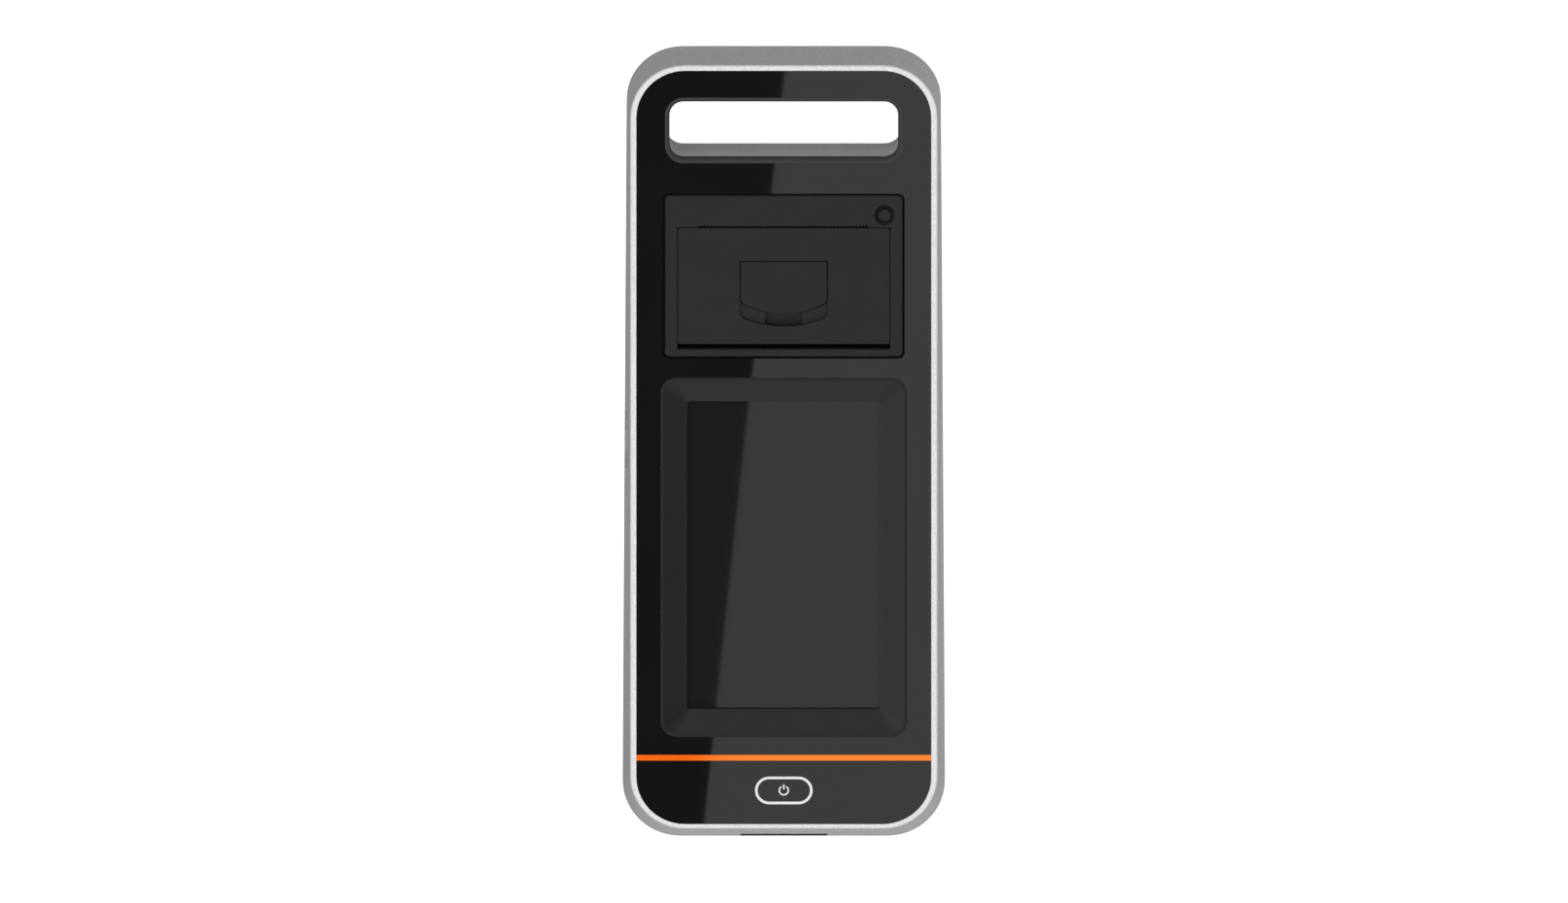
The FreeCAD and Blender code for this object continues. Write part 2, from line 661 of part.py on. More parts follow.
def front_frame():
    """Silver front frame: walls, web under the overlay, handle with its hole, back flange, screw bosses."""
    outer = frame_outer()
    outer = outer.makeChamfer(BACK_CHAMFER, flat_edges(outer, SEAM, 0.0))
    inner = placed(loft([frame_outline(FRAME_WALL, WEB_LOW), frame_outline(FRAME_WALL, -FRAME_REACH)]), PANEL)
    cavity = inner.common(above_seam(FLANGE_THICKNESS))
    handle_tube = placed(loft([handle_outline(HANDLE_WALL, PAST), handle_outline(HANDLE_WALL, -HANDLE_REACH)]), PANEL)
    body = outer.cut(cavity.cut(handle_tube))
    hole = loft([handle_outline(BEZEL_RING_STEP, PAST), handle_outline(BEZEL_RING_STEP, -HANDLE_REACH)])
    overlay_recess = centred_slab(
        OVERLAY_HALF_WIDTH + RECESS_GAP, OVERLAY_LOW - RECESS_GAP, OVERLAY_TOP + RECESS_GAP,
        OVERLAY_CORNER + RECESS_GAP, WEB_TOP, PAST)
    lcd_opening = centred_slab(
        LCD_HALF_WIDTH + SCREEN_CLEARANCE, LCD_LOW - SCREEN_CLEARANCE, LCD_TOP + SCREEN_CLEARANCE,
        WINDOW_CORNER, WEB_LOW - PAST, 0.0)
    cuts = [
        hole,
        overlay_recess,
        bezel_seat(-(PANEL_DROP + BEZEL_RING_DEPTH)),
        screen_cut(RECESS_GAP, BEZEL_LOW, PAST),
        lcd_opening,
        printer_cut(RECESS_GAP, WEB_LOW - PAST, 0.0),
        power_cut(RECESS_GAP, WEB_LOW - PAST, 0.0),
    ]
    body = minus(body, [placed(cut, PANEL) for cut in cuts])
    half = HOUSING_HALF_WIDTH - HOUSING_WALL - BACK_OPENING_INSET
    low = HOUSING_FRONT / math.cos(math.radians(SEAM_TILT)) + BACK_OPENING_ENDS
    high = REAR_TOP / math.cos(math.radians(SEAM_TILT)) - BACK_OPENING_ENDS
    back_opening = placed(
        centred_slab(half, low, high, BACK_OPENING_CORNER, -PAST, FLANGE_THICKNESS + PAST), SEAM)
    notch_height = TRAY_FRONT_TOP + TRAY_GAP
    finger_notch = rod(NOTCH_RADIUS, V(0, TRAY_BODY_FRONT - FAR_PAST, notch_height),
                       V(0, TRAY_BODY_FRONT + FAR_PAST, notch_height))
    body = minus(body, [back_opening, tray_opening(TRAY_GAP), finger_notch])
    additions = [body]
    for side in (-1, 1):
        for along in FRAME_SCREW_Y:
            boss = rod(BOSS_RADIUS, V(side * FRAME_SCREW_X, along, 0),
                       V(side * FRAME_SCREW_X, along, FRAME_BOSS_HEIGHT))
            near = min(side * FRAME_SCREW_X, side * (FRAME_SCREW_X + FRAME_RIB))
            wall_rib = box(near, near + FRAME_RIB, along - RIB_HALF, along + RIB_HALF, FLANGE_THICKNESS - PAST,
                           FRAME_BOSS_HEIGHT)
            additions.append(placed(boss, SEAM))
            additions.append(placed(wall_rib, SEAM).common(inner))
        for along in (BOARD_LOW + POST_INSET, BOARD_TOP - POST_INSET):
            post_x = side * (BOARD_HALF_WIDTH - POST_INSET)
            post = rod(POST_RADIUS, V(post_x, along, BOARD_DEPTH), V(post_x, along, WEB_LOW + POST_ROOT))
            additions.append(placed(post, PANEL))
    for along in (-ANTENNA_HALF_LENGTH + ANTENNA_RIB, ANTENNA_HALF_LENGTH - ANTENNA_RIB):
        rib = box(ANTENNA_X - ANTENNA_RIB, ANTENNA_X, along - RIB_HALF, along + RIB_HALF, FLANGE_THICKNESS - PAST,
                  ANTENNA_FOOT + ANTENNA_HEIGHT)
        additions.append(placed(rib, SEAM).common(inner))
    body = united(additions)
    screw_holes = []
    for side in (-1, 1):
        for along in FRAME_SCREW_Y:
            screw_holes.append(placed(rod(
                SCREW_RADIUS, V(side * FRAME_SCREW_X, along, -PAST),
                V(side * FRAME_SCREW_X, along, FRAME_BOSS_HEIGHT - SCREW_PILOT)), SEAM))
    return only_solid(minus(body, screw_holes))


def bezel_seat(level):
    """Seat of the handle bezel, open to the front, in the panel frame."""
    half = HANDLE_HALF_WIDTH + BEZEL_RING_WIDTH
    corner = HANDLE_CORNER + BEZEL_RING_WIDTH
    return centred_slab(
        half, HANDLE_LOW - BEZEL_RING_WIDTH - BEZEL_RING_LIP, HANDLE_TOP + BEZEL_RING_WIDTH, corner, level, PAST)


def handle_bezel():
    """Dark ring that lines the front of the handle hole."""
    half = HANDLE_HALF_WIDTH + BEZEL_RING_WIDTH
    corner = HANDLE_CORNER + BEZEL_RING_WIDTH
    low = -(PANEL_DROP + BEZEL_RING_DEPTH)
    ring = centred_slab(half, HANDLE_LOW - BEZEL_RING_WIDTH - BEZEL_RING_LIP, HANDLE_TOP + BEZEL_RING_WIDTH, corner,
                        low, 0.0)
    hole = centred_slab(HANDLE_HALF_WIDTH, HANDLE_LOW, HANDLE_TOP, HANDLE_CORNER, low - PAST, PAST)
    wide = BEZEL_MOUTH
    mouth = loft([
        outline(-HANDLE_HALF_WIDTH, HANDLE_HALF_WIDTH, HANDLE_LOW, HANDLE_TOP, HANDLE_CORNER, HANDLE_CORNER,
                -0.8 * BEZEL_MOUTH),
        outline(-HANDLE_HALF_WIDTH - wide, HANDLE_HALF_WIDTH + wide, HANDLE_LOW - wide, HANDLE_TOP + wide,
                HANDLE_CORNER + wide, HANDLE_CORNER + wide, 0.2 * BEZEL_MOUTH),
    ])
    return placed(minus(ring, [hole, mouth]), PANEL)


def overlay_panel():
    """Gloss black overlay in the frame's recess, open at the handle, printer, screen and power ring."""
    top = -PANEL_DROP
    plate = centred_slab(OVERLAY_HALF_WIDTH, OVERLAY_LOW, OVERLAY_TOP, OVERLAY_CORNER, WEB_TOP, top)
    cuts = [
        bezel_seat(WEB_TOP - PAST),
        printer_cut(RECESS_GAP, WEB_TOP - PAST, PAST),
        printer_cut(PRINTER_GAP, top - PRINTER_GROOVE, PAST),
        screen_cut(RECESS_GAP, WEB_TOP - PAST, PAST),
        power_cut(0.0, WEB_TOP - PAST, PAST),
        box(-OVERLAY_HALF_WIDTH - PAST, OVERLAY_HALF_WIDTH + PAST, STRIPE_CENTRE - STRIPE_WIDTH / 2.0,
            STRIPE_CENTRE + STRIPE_WIDTH / 2.0, top - STRIPE_DEPTH, PAST),
    ]
    return placed(minus(plate, cuts), PANEL)


def accent_strip():
    """Orange strip inlaid across the overlay."""
    strip = box(-OVERLAY_HALF_WIDTH, OVERLAY_HALF_WIDTH, STRIPE_CENTRE - STRIPE_WIDTH / 2.0,
                STRIPE_CENTRE + STRIPE_WIDTH / 2.0, -PANEL_DROP - STRIPE_DEPTH, -PANEL_DROP)
    return placed(strip, PANEL)


# ================================================================ screen
def screen_bezel():
    """Matt bezel whose four faces slope down from a thin lip to the window."""
    top = -PANEL_DROP
    block = centred_slab(SCREEN_HALF_WIDTH, SCREEN_LOW, SCREEN_TOP, SCREEN_CORNER, BEZEL_LOW, top)
    lip_half = SCREEN_HALF_WIDTH - SCREEN_LIP
    lip_corner = SCREEN_CORNER - SCREEN_LIP
    window = outline(-WINDOW_HALF_WIDTH, WINDOW_HALF_WIDTH, WINDOW_LOW, WINDOW_TOP, WINDOW_CORNER,
                     WINDOW_CORNER, top - BEZEL_DEPTH)
    funnel = loft([
        window,
        outline(-lip_half, lip_half, SCREEN_LOW + SCREEN_LIP, SCREEN_TOP - SCREEN_LIP, lip_corner, lip_corner, top),
        outline(-lip_half, lip_half, SCREEN_LOW + SCREEN_LIP, SCREEN_TOP - SCREEN_LIP, lip_corner, lip_corner,
                top + PAST),
    ])
    through = centred_slab(WINDOW_HALF_WIDTH, WINDOW_LOW, WINDOW_TOP, WINDOW_CORNER, BEZEL_LOW - PAST, top)
    return placed(minus(block, [funnel, through]), PANEL)


def touch_glass():
    """Touch glass behind the bezel's window."""
    glass = centred_slab(WINDOW_HALF_WIDTH + GLASS_MARGIN, WINDOW_LOW - GLASS_MARGIN, WINDOW_TOP + GLASS_MARGIN,
                         GLASS_CORNER, GLASS_LOW, BEZEL_LOW)
    return placed(glass, PANEL)


def lcd_module():
    """Display behind the touch glass: metal tray with a step round the glass."""
    tray = box(-LCD_HALF_WIDTH, LCD_HALF_WIDTH, LCD_LOW, LCD_TOP, LCD_BACK, GLASS_LOW - LCD_STEP)
    margin = LCD_STEP_MARGIN
    face = box(-WINDOW_HALF_WIDTH - margin, WINDOW_HALF_WIDTH + margin, WINDOW_LOW - margin, WINDOW_TOP + margin,
               GLASS_LOW - LCD_STEP, GLASS_LOW)
    return placed(united([tray, face]), PANEL)


# ================================================================ power button
def power_ring():
    """White light ring round the power button, through the overlay."""
    return placed(power_cut(0.0, WEB_LOW, -PANEL_DROP).cut(power_cut(-POWER_RING_WIDTH, WEB_LOW - PAST, PAST)), PANEL)


CAP_LOW = WEB_LOW - CAP_REACH
SWITCH_TOP = CAP_LOW - POWER_STEM - POWER_TRAVEL - SWITCH_CLEARANCE


def standby_solid(bottom, top):
    """Standby symbol in the panel frame: an open ring with a bar through its gap."""
    outer = Part.makeCylinder(SYMBOL_RADIUS + SYMBOL_STROKE / 2.0, top - bottom, V(0, POWER_CENTRE, bottom))
    inner = Part.makeCylinder(SYMBOL_RADIUS - SYMBOL_STROKE / 2.0, top - bottom, V(0, POWER_CENTRE, bottom))
    reach = 3.0 * SYMBOL_RADIUS
    reach_x = reach * math.sin(math.radians(SYMBOL_MOUTH))
    reach_y = POWER_CENTRE + reach * math.cos(math.radians(SYMBOL_MOUTH))
    mouth = polygon_prism([
        V(0, POWER_CENTRE, bottom),
        V(-reach_x, reach_y, bottom),
        V(reach_x, reach_y, bottom),
    ], V(0, 0, top - bottom))
    ring = outer.cut(inner).cut(mouth)
    bar = box(-SYMBOL_STROKE / 2.0, SYMBOL_STROKE / 2.0, POWER_CENTRE + 0.25 * SYMBOL_RADIUS,
              POWER_CENTRE + 1.4 * SYMBOL_RADIUS, bottom, top)
    return Part.makeCompound([ring.Solids[0], bar])


def power_button():
    """Gloss cap inside the light ring, with a stem down to its switch."""
    top = -PANEL_DROP
    cap = power_cut(-POWER_RING_WIDTH - POWER_GAP, CAP_LOW, top)
    stem = rod(POWER_STEM_RADIUS, V(0, POWER_CENTRE, CAP_LOW - POWER_STEM), V(0, POWER_CENTRE, CAP_LOW + CAP_REACH))
    body = united([cap, stem])
    return placed(minus(body, [standby_solid(top - SYMBOL_DEPTH, PAST)]), PANEL)


def standby_symbol():
    """White standby symbol inlaid in the power button."""
    return placed(standby_solid(-PANEL_DROP - SYMBOL_DEPTH, -PANEL_DROP), PANEL)


def power_switch_board():
    """Small board under the power button: switch body, switch plunger seat and two posts to the web."""
    body_top = SWITCH_TOP - SWITCH_PLUNGER
    low = body_top - SWITCH_HEIGHT
    half = SWITCH_HALF_WIDTH
    board = box(-SWITCH_BOARD_HALF_LENGTH, SWITCH_BOARD_HALF_LENGTH, POWER_CENTRE - SWITCH_BOARD_HALF_HEIGHT,
                POWER_CENTRE + SWITCH_BOARD_HALF_HEIGHT, low - SWITCH_BOARD_THICKNESS, low)
    switch = box(-half, half, POWER_CENTRE - half, POWER_CENTRE + half, low, body_top)
    plunger = rod(SWITCH_PLUNGER_RADIUS, V(0, POWER_CENTRE, low), V(0, POWER_CENTRE, SWITCH_TOP))
    parts = [board, switch, plunger]
    for side in (-1, 1):
        parts.append(rod(SWITCH_POST_RADIUS, V(side * SWITCH_POST_X, POWER_CENTRE, low - SWITCH_BOARD_THICKNESS),
                         V(side * SWITCH_POST_X, POWER_CENTRE, WEB_LOW)))
    return placed(united(parts), PANEL)


# ================================================================ printer
FACE_TOP = -PANEL_DROP
HINGE_Y = DOOR_LOW + HINGE_RADIUS
HINGE_Z = FACE_TOP - HINGE_RADIUS
DOOR_UNDERSIDE = FACE_TOP - DOOR_THICKNESS
OPENING_HALF_WIDTH = DOOR_HALF_WIDTH + DOOR_GAP
OPENING_LOW = DOOR_LOW - DOOR_HINGE_GAP
OPENING_TOP = DOOR_TOP + DOOR_GAP
MECHANISM_TOP = PRINTER_TOP - MECHANISM_WALL
MECHANISM_RIGHT = FEED_X + FEED_RADIUS + MECHANISM_CLEAR
LEVER_PIVOT_Y = LEVER_TOP - LEVER_NOSE
LEVER_PIVOT_Z = FACE_TOP - LEVER_NOSE
LEVER_SWEEP = math.hypot(LEVER_NOSE - LEVER_CREST, LEVER_NOSE - LEVER_CREST) + LEVER_CREST
POCKET_HALF_WIDTH = LEVER_HALF_WIDTH + LEVER_GAP
TEAR_SEAT = OPENING_TOP + TEAR_SLOT
TEAR_REAR = OPENING_TOP + TEAR_WIDTH


def printer_frame():
    """Matt frame of the panel printer: face, skirt, door opening, mechanism space and button recess."""
    block = centred_slab(PRINTER_HALF_WIDTH, PRINTER_LOW, PRINTER_TOP, PRINTER_CORNER, PRINTER_LOW_FACE, FACE_TOP)
    rim = [edge for edge in block.Edges
           if all(abs(vertex.Point.z - FACE_TOP) < 1e-6 for vertex in edge.Vertexes)]
    block = block.makeFillet(PRINTER_EDGE, rim)
    face_low = FACE_TOP - PRINTER_FACE
    cone = Part.makeCone(FEED_RADIUS + FEED_CONE_STEP, FEED_RECESS, FEED_RECESS_DEPTH,
                         V(FEED_X, FEED_Y, FACE_TOP - FEED_RECESS_DEPTH))
    cuts = [
        box(-OPENING_HALF_WIDTH, OPENING_HALF_WIDTH, OPENING_LOW, OPENING_TOP, PRINTER_LOW_FACE - PAST, PAST),
        box(-OPENING_HALF_WIDTH, MECHANISM_RIGHT, OPENING_TOP - PAST, MECHANISM_TOP, PRINTER_LOW_FACE - PAST,
            face_low),
        box(-TEAR_HALF_WIDTH, TEAR_HALF_WIDTH, OPENING_TOP - PAST, TEAR_SEAT, face_low - PAST, PAST),
        box(-TEAR_HALF_WIDTH, TEAR_HALF_WIDTH, OPENING_TOP - PAST, TEAR_REAR, FACE_TOP - TEAR_THICKNESS, PAST),
        cone,
        rod(FEED_RADIUS + FEED_GUIDE, V(FEED_X, FEED_Y, PRINTER_LOW_FACE), V(FEED_X, FEED_Y, PAST)),
        rod(PIN_RADIUS, V(-OPENING_HALF_WIDTH - PIN_SEAT, HINGE_Y, HINGE_Z),
            V(OPENING_HALF_WIDTH + PIN_SEAT, HINGE_Y, HINGE_Z)),
    ]
    return placed(minus(block, cuts), PANEL)


def tear_bar():
    """Serrated bar over the paper slot."""
    top = FACE_TOP - TEAR_DROP
    low = FACE_TOP - TEAR_THICKNESS
    count = int(round(2.0 * TEAR_HALF_WIDTH / TOOTH_PITCH))
    pitch = 2.0 * TEAR_HALF_WIDTH / count
    points = [V(-TEAR_HALF_WIDTH, TEAR_REAR, low)]
    for index in range(count):
        left = -TEAR_HALF_WIDTH + index * pitch
        points.append(V(left, OPENING_TOP + TOOTH_HEIGHT, low))
        points.append(V(left + pitch / 2.0, OPENING_TOP, low))
    points.append(V(TEAR_HALF_WIDTH, OPENING_TOP + TOOTH_HEIGHT, low))
    points.append(V(TEAR_HALF_WIDTH, TEAR_REAR, low))
    return placed(polygon_prism(points, V(0, 0, top - low)), PANEL)


def lever_form(half_width, top, side, middle, corner, low, high):
    """Plate with a straight upper edge and a bowed lower edge with rounded corners."""
    edges = [
        Part.makeLine(V(-half_width, top, low), V(half_width, top, low)),
        Part.makeLine(V(half_width, top, low), V(half_width, side, low)),
        Part.Arc(V(half_width, side, low), V(0, middle, low), V(-half_width, side, low)).toShape(),
        Part.makeLine(V(-half_width, side, low), V(-half_width, top, low)),
    ]
    solid = Part.Face(Part.Wire(edges)).extrude(V(0, 0, high - low))
    uprights = [edge for edge in solid.Edges
                if all(abs(vertex.Point.y - side) < 1e-6 for vertex in edge.Vertexes)
                and abs(edge.Vertexes[0].Point.x - edge.Vertexes[-1].Point.x) < 1e-6]
    return solid.makeFillet(corner, uprights)


EAR_LEFT = PAPER_HALF_WIDTH + EAR_GAP
POCKET_FLOOR = FACE_TOP - LEVER_THICKNESS - LEVER_LIFT


def door_leaf():
    """Plate of the printer door with its barrel and the rounded face edge along the hinge."""
    plate = box(-DOOR_HALF_WIDTH, DOOR_HALF_WIDTH, HINGE_Y, DOOR_TOP, DOOR_UNDERSIDE, FACE_TOP)
    corners = centred_slab(DOOR_HALF_WIDTH, 0.0, DOOR_TOP, DOOR_CORNER, DOOR_UNDERSIDE, FACE_TOP)
    edge_block = box(-DOOR_HALF_WIDTH, DOOR_HALF_WIDTH, DOOR_LOW, HINGE_Y, HINGE_Z, FACE_TOP)
    barrel = rod(HINGE_RADIUS, V(-DOOR_HALF_WIDTH, HINGE_Y, HINGE_Z), V(DOOR_HALF_WIDTH, HINGE_Y, HINGE_Z))
    leaf = united([plate.common(corners), edge_block, barrel])
    return leaf.makeFillet(HINGE_EDGE, ridge(leaf, DOOR_LOW))


def ridge(shape, along):
    """Edges of a printer piece that lie on its face at a distance up the panel."""
    return [edge for edge in shape.Edges
            if all(abs(vertex.Point.y - along) < 1e-6 and abs(vertex.Point.z - FACE_TOP) < 1e-6
                   for vertex in edge.Vertexes)]


def scoop_form(grow, low, high):
    """Prism over the lever's pocket and the ledge round its lip, grown by a wall."""
    return lever_form(POCKET_HALF_WIDTH + grow, LEVER_TOP + LEVER_GAP, SCOOP_SIDE - grow, SCOOP_MIDDLE - grow,
                      LEVER_CORNER + grow, low, high)


def pivot_rod(radius, start, end):
    """Round bar on the lever's pivot line."""
    return rod(radius, V(start, LEVER_PIVOT_Y, LEVER_PIVOT_Z), V(end, LEVER_PIVOT_Y, LEVER_PIVOT_Z))


def free_channels():
    """Channels round the latch shaft between its bearings, wider at the two hooks."""
    stops = [-DOOR_HALF_WIDTH - PAST]
    for saddle in reversed(SADDLES):
        stops += [-saddle - SADDLE_WIDTH, -saddle]
    for saddle in SADDLES:
        stops += [saddle, saddle + SADDLE_WIDTH]
    stops.append(DOOR_HALF_WIDTH + PAST)
    channels = [pivot_rod(PIN_RADIUS + CHANNEL_GAP, start, end) for start, end in zip(stops[0::2], stops[1::2])]
    half = LATCH_THICKNESS / 2.0 + CHANNEL_GAP
    for side in (-1, 1):
        centre = side * (LATCH_LEFT + LATCH_THICKNESS / 2.0)
        channels.append(pivot_rod(HOOK_EYE + CHANNEL_GAP, centre - half, centre + half))
    return channels


def printer_door():
    """Printer door: leaf, lever pocket with ledge and finger pit, platen ears and shaft bearings."""
    support = scoop_form(SCOOP_WALL, FACE_TOP - SCOOP_DEPTH - SCOOP_WALL, DOOR_UNDERSIDE)
    block_end = LEVER_MIDDLE + SCOOP_UNDER + 3.0 * SCOOP_WALL
    reach = POCKET_HALF_WIDTH + SCOOP_WALL
    support = support.common(box(-reach, reach, 0.0, block_end, -PRINTER_DEPTH, FACE_TOP))
    parts = [door_leaf(), support]
    for side in (-1, 1):
        inner = side * EAR_LEFT
        outer = side * (EAR_LEFT + EAR_THICKNESS)
        parts.append(box(min(inner, outer), max(inner, outer), PLATEN_Y - EAR_LOW, PLATEN_Y + EAR_HIGH,
                         PLATEN_Z - EAR_BELOW, DOOR_UNDERSIDE))
        for saddle in SADDLES:
            low_x = side * saddle if side > 0 else side * saddle - SADDLE_WIDTH
            parts.append(box(low_x, low_x + SADDLE_WIDTH, LEVER_PIVOT_Y - SADDLE_HALF_SIZE,
                             LEVER_PIVOT_Y + SADDLE_HALF_SIZE, LEVER_PIVOT_Z - SADDLE_HALF_SIZE, DOOR_UNDERSIDE))
    body = united(parts)
    pocket = lever_form(POCKET_HALF_WIDTH, LEVER_TOP + LEVER_GAP, LEVER_SIDE - LEVER_GAP, LEVER_MIDDLE - LEVER_GAP,
                        LEVER_CORNER + LEVER_GAP, POCKET_FLOOR, PAST)
    ledge = scoop_form(0.0, FACE_TOP - LEDGE_DEPTH, PAST)
    pit_end = LEVER_MIDDLE + SCOOP_UNDER
    pit = across([(SCOOP_MIDDLE - PAST, FACE_TOP - SCOOP_DEPTH), (pit_end, POCKET_FLOOR), (pit_end, FACE_TOP),
                  (SCOOP_MIDDLE - PAST, FACE_TOP)], -SCOOP_HALF_WIDTH, SCOOP_HALF_WIDTH)
    pit = pit.common(scoop_form(0.0, FACE_TOP - SCOOP_DEPTH, PAST))
    sweep = pivot_rod(LEVER_SWEEP + LEVER_GAP, -POCKET_HALF_WIDTH, POCKET_HALF_WIDTH)
    span = 2.0 * DOOR_HALF_WIDTH
    bores = [
        rod(PIN_RADIUS + RUNNING_CLEARANCE, V(-span, HINGE_Y, HINGE_Z), V(span, HINGE_Y, HINGE_Z)),
        pivot_rod(PIN_RADIUS + RUNNING_CLEARANCE, -span, span),
        rod(PLATEN_SHAFT + RUNNING_CLEARANCE, V(-span, PLATEN_Y, PLATEN_Z), V(span, PLATEN_Y, PLATEN_Z)),
    ]
    body = minus(body, [pocket, ledge, pit, sweep] + free_channels() + bores)
    return placed(only_solid(body), PANEL)


def door_lever():
    """Release lever: flat plate with a bowed lip, and a barrel round the latch shaft."""
    plate = lever_form(LEVER_HALF_WIDTH, LEVER_TOP, LEVER_SIDE, LEVER_MIDDLE, LEVER_CORNER,
                       FACE_TOP - LEVER_THICKNESS, FACE_TOP)
    crest = box(-LEVER_HALF_WIDTH, LEVER_HALF_WIDTH, LEVER_PIVOT_Y, LEVER_TOP, LEVER_PIVOT_Z, FACE_TOP)
    body = united([plate, crest, pivot_rod(LEVER_NOSE, -LEVER_HALF_WIDTH, LEVER_HALF_WIDTH)])
    rim = [edge for edge in body.Edges if all(abs(vertex.Point.z - FACE_TOP) < 1e-6 for vertex in edge.Vertexes)]
    body = body.makeFillet(LEVER_CREST, rim)
    return placed(body.cut(pivot_rod(PIN_RADIUS, -DOOR_HALF_WIDTH, DOOR_HALF_WIDTH)), PANEL)


def latch_shaft():
    """Steel shaft through the lever, with a hook at each side of the paper well."""
    reach = LATCH_LEFT + LATCH_THICKNESS
    parts = [pivot_rod(PIN_RADIUS, -reach, reach)]
    tip = LEVER_PIVOT_Z - LATCH_REACH
    profile = [
        (LEVER_PIVOT_Y - HOOK_BACK, LEVER_PIVOT_Z),
        (LEVER_PIVOT_Y - HOOK_BACK, tip),
        (LEVER_PIVOT_Y + HOOK_FRONT, tip),
        (LEVER_PIVOT_Y + HOOK_FRONT + HOOK_BARB, tip + HOOK_SLOPE),
        (LEVER_PIVOT_Y + HOOK_FRONT, tip + 1.5 * HOOK_SLOPE),
        (LEVER_PIVOT_Y + HOOK_FRONT, LEVER_PIVOT_Z),
    ]
    for side in (-1, 1):
        near = min(side * LATCH_LEFT, side * reach)
        far = max(side * LATCH_LEFT, side * reach)
        parts.append(across(profile, near, far))
        parts.append(pivot_rod(HOOK_EYE, near, far))
    return placed(united(parts), PANEL)


def door_hinge_pin():
    """Hinge pin of the printer door, held in the printer frame."""
    reach = OPENING_HALF_WIDTH + PIN_SEAT
    return placed(rod(PIN_RADIUS, V(-reach, HINGE_Y, HINGE_Z), V(reach, HINGE_Y, HINGE_Z)), PANEL)


def platen_roller():
    """Rubber platen roller."""
    half = PAPER_HALF_WIDTH - EAR_GAP
    tube = rod(PLATEN_RADIUS, V(-half, PLATEN_Y, PLATEN_Z), V(half, PLATEN_Y, PLATEN_Z))
    core = rod(PLATEN_SHAFT, V(-half - PAST, PLATEN_Y, PLATEN_Z), V(half + PAST, PLATEN_Y, PLATEN_Z))
    return placed(tube.cut(core), PANEL)


GEAR_RIGHT = GEAR_LEFT + GEAR_WIDTH


def platen_shaft():
    """Steel shaft of the platen roller and its gear."""
    return placed(rod(PLATEN_SHAFT, V(-EAR_LEFT - EAR_THICKNESS - CHANNEL_GAP, PLATEN_Y, PLATEN_Z),
                      V(GEAR_RIGHT, PLATEN_Y, PLATEN_Z)), PANEL)


PLATEN_PITCH = PLATEN_TEETH * GEAR_MODULE / 2.0
IDLER_PITCH = IDLER_TEETH * GEAR_MODULE / 2.0
MOTOR_PITCH = MOTOR_TEETH * GEAR_MODULE / 2.0
LIFT_AWAY = math.atan2(HINGE_Y - PLATEN_Y, -(HINGE_Z - PLATEN_Z))
IDLER_Y = PLATEN_Y + (PLATEN_PITCH + IDLER_PITCH) * math.cos(LIFT_AWAY)
IDLER_Z = PLATEN_Z + (PLATEN_PITCH + IDLER_PITCH) * math.sin(LIFT_AWAY)
MOTOR_DIRECTION = math.radians(FEED_MOTOR_TURN)
FEED_MOTOR_Y = IDLER_Y + (IDLER_PITCH + MOTOR_PITCH) * math.cos(MOTOR_DIRECTION)
FEED_MOTOR_Z = IDLER_Z + (IDLER_PITCH + MOTOR_PITCH) * math.sin(MOTOR_DIRECTION)
IDLER_TURN = meshing_turn(0.0, PLATEN_TEETH, LIFT_AWAY, IDLER_TEETH)
MOTOR_TURN = meshing_turn(IDLER_TURN, IDLER_TEETH, MOTOR_DIRECTION, MOTOR_TEETH)


def feed_gear(teeth, centre_y, centre_z, turn, bore):
    """Spur gear of the paper drive, its axis across the unit."""
    profile = [(centre_y + a, centre_z + b) for a, b in gear_points(teeth, GEAR_MODULE, turn)]
    hole = rod(bore, V(GEAR_LEFT - PAST, centre_y, centre_z), V(GEAR_RIGHT + PAST, centre_y, centre_z))
    return placed(across(profile, GEAR_LEFT, GEAR_RIGHT).cut(hole), PANEL)


PLATE_LEFT = PAPER_HALF_WIDTH + WELL_WALL
PLATE_TOP = LEVER_PIVOT_Z - LATCH_REACH - PLATE_DROP


def mechanism_plate():
    """Steel side plate that carries the idler and the feed motor under the printer frame."""
    right = PLATE_LEFT + PLATE_THICKNESS
    near = OPENING_TOP + PLATE_SETBACK
    lower = box(PLATE_LEFT, right, IDLER_Y - PLATE_NEAR, MECHANISM_TOP, FEED_MOTOR_Z - FEED_MOTOR_RADIUS, PLATE_TOP)
    arm = box(PLATE_LEFT, right, near, MECHANISM_TOP, PLATE_TOP - PLATE_THICKNESS, PRINTER_LOW_FACE)
    foot = box(PLATE_LEFT, OPENING_HALF_WIDTH + PLATE_FOOT, near, MECHANISM_TOP + PLATE_FOOT,
               PRINTER_LOW_FACE - PLATE_THICKNESS, PRINTER_LOW_FACE)
    body = united([lower, arm, foot])
    hole = rod(MOTOR_SHAFT_RADIUS + SHAFT_CLEAR, V(PLATE_LEFT - PAST, FEED_MOTOR_Y, FEED_MOTOR_Z),
               V(right + PAST, FEED_MOTOR_Y, FEED_MOTOR_Z))
    pin_hole = rod(IDLER_PIN_RADIUS, V(PLATE_LEFT - PAST, IDLER_Y, IDLER_Z), V(right + PAST, IDLER_Y, IDLER_Z))
    return placed(minus(body, [hole, pin_hole]), PANEL)


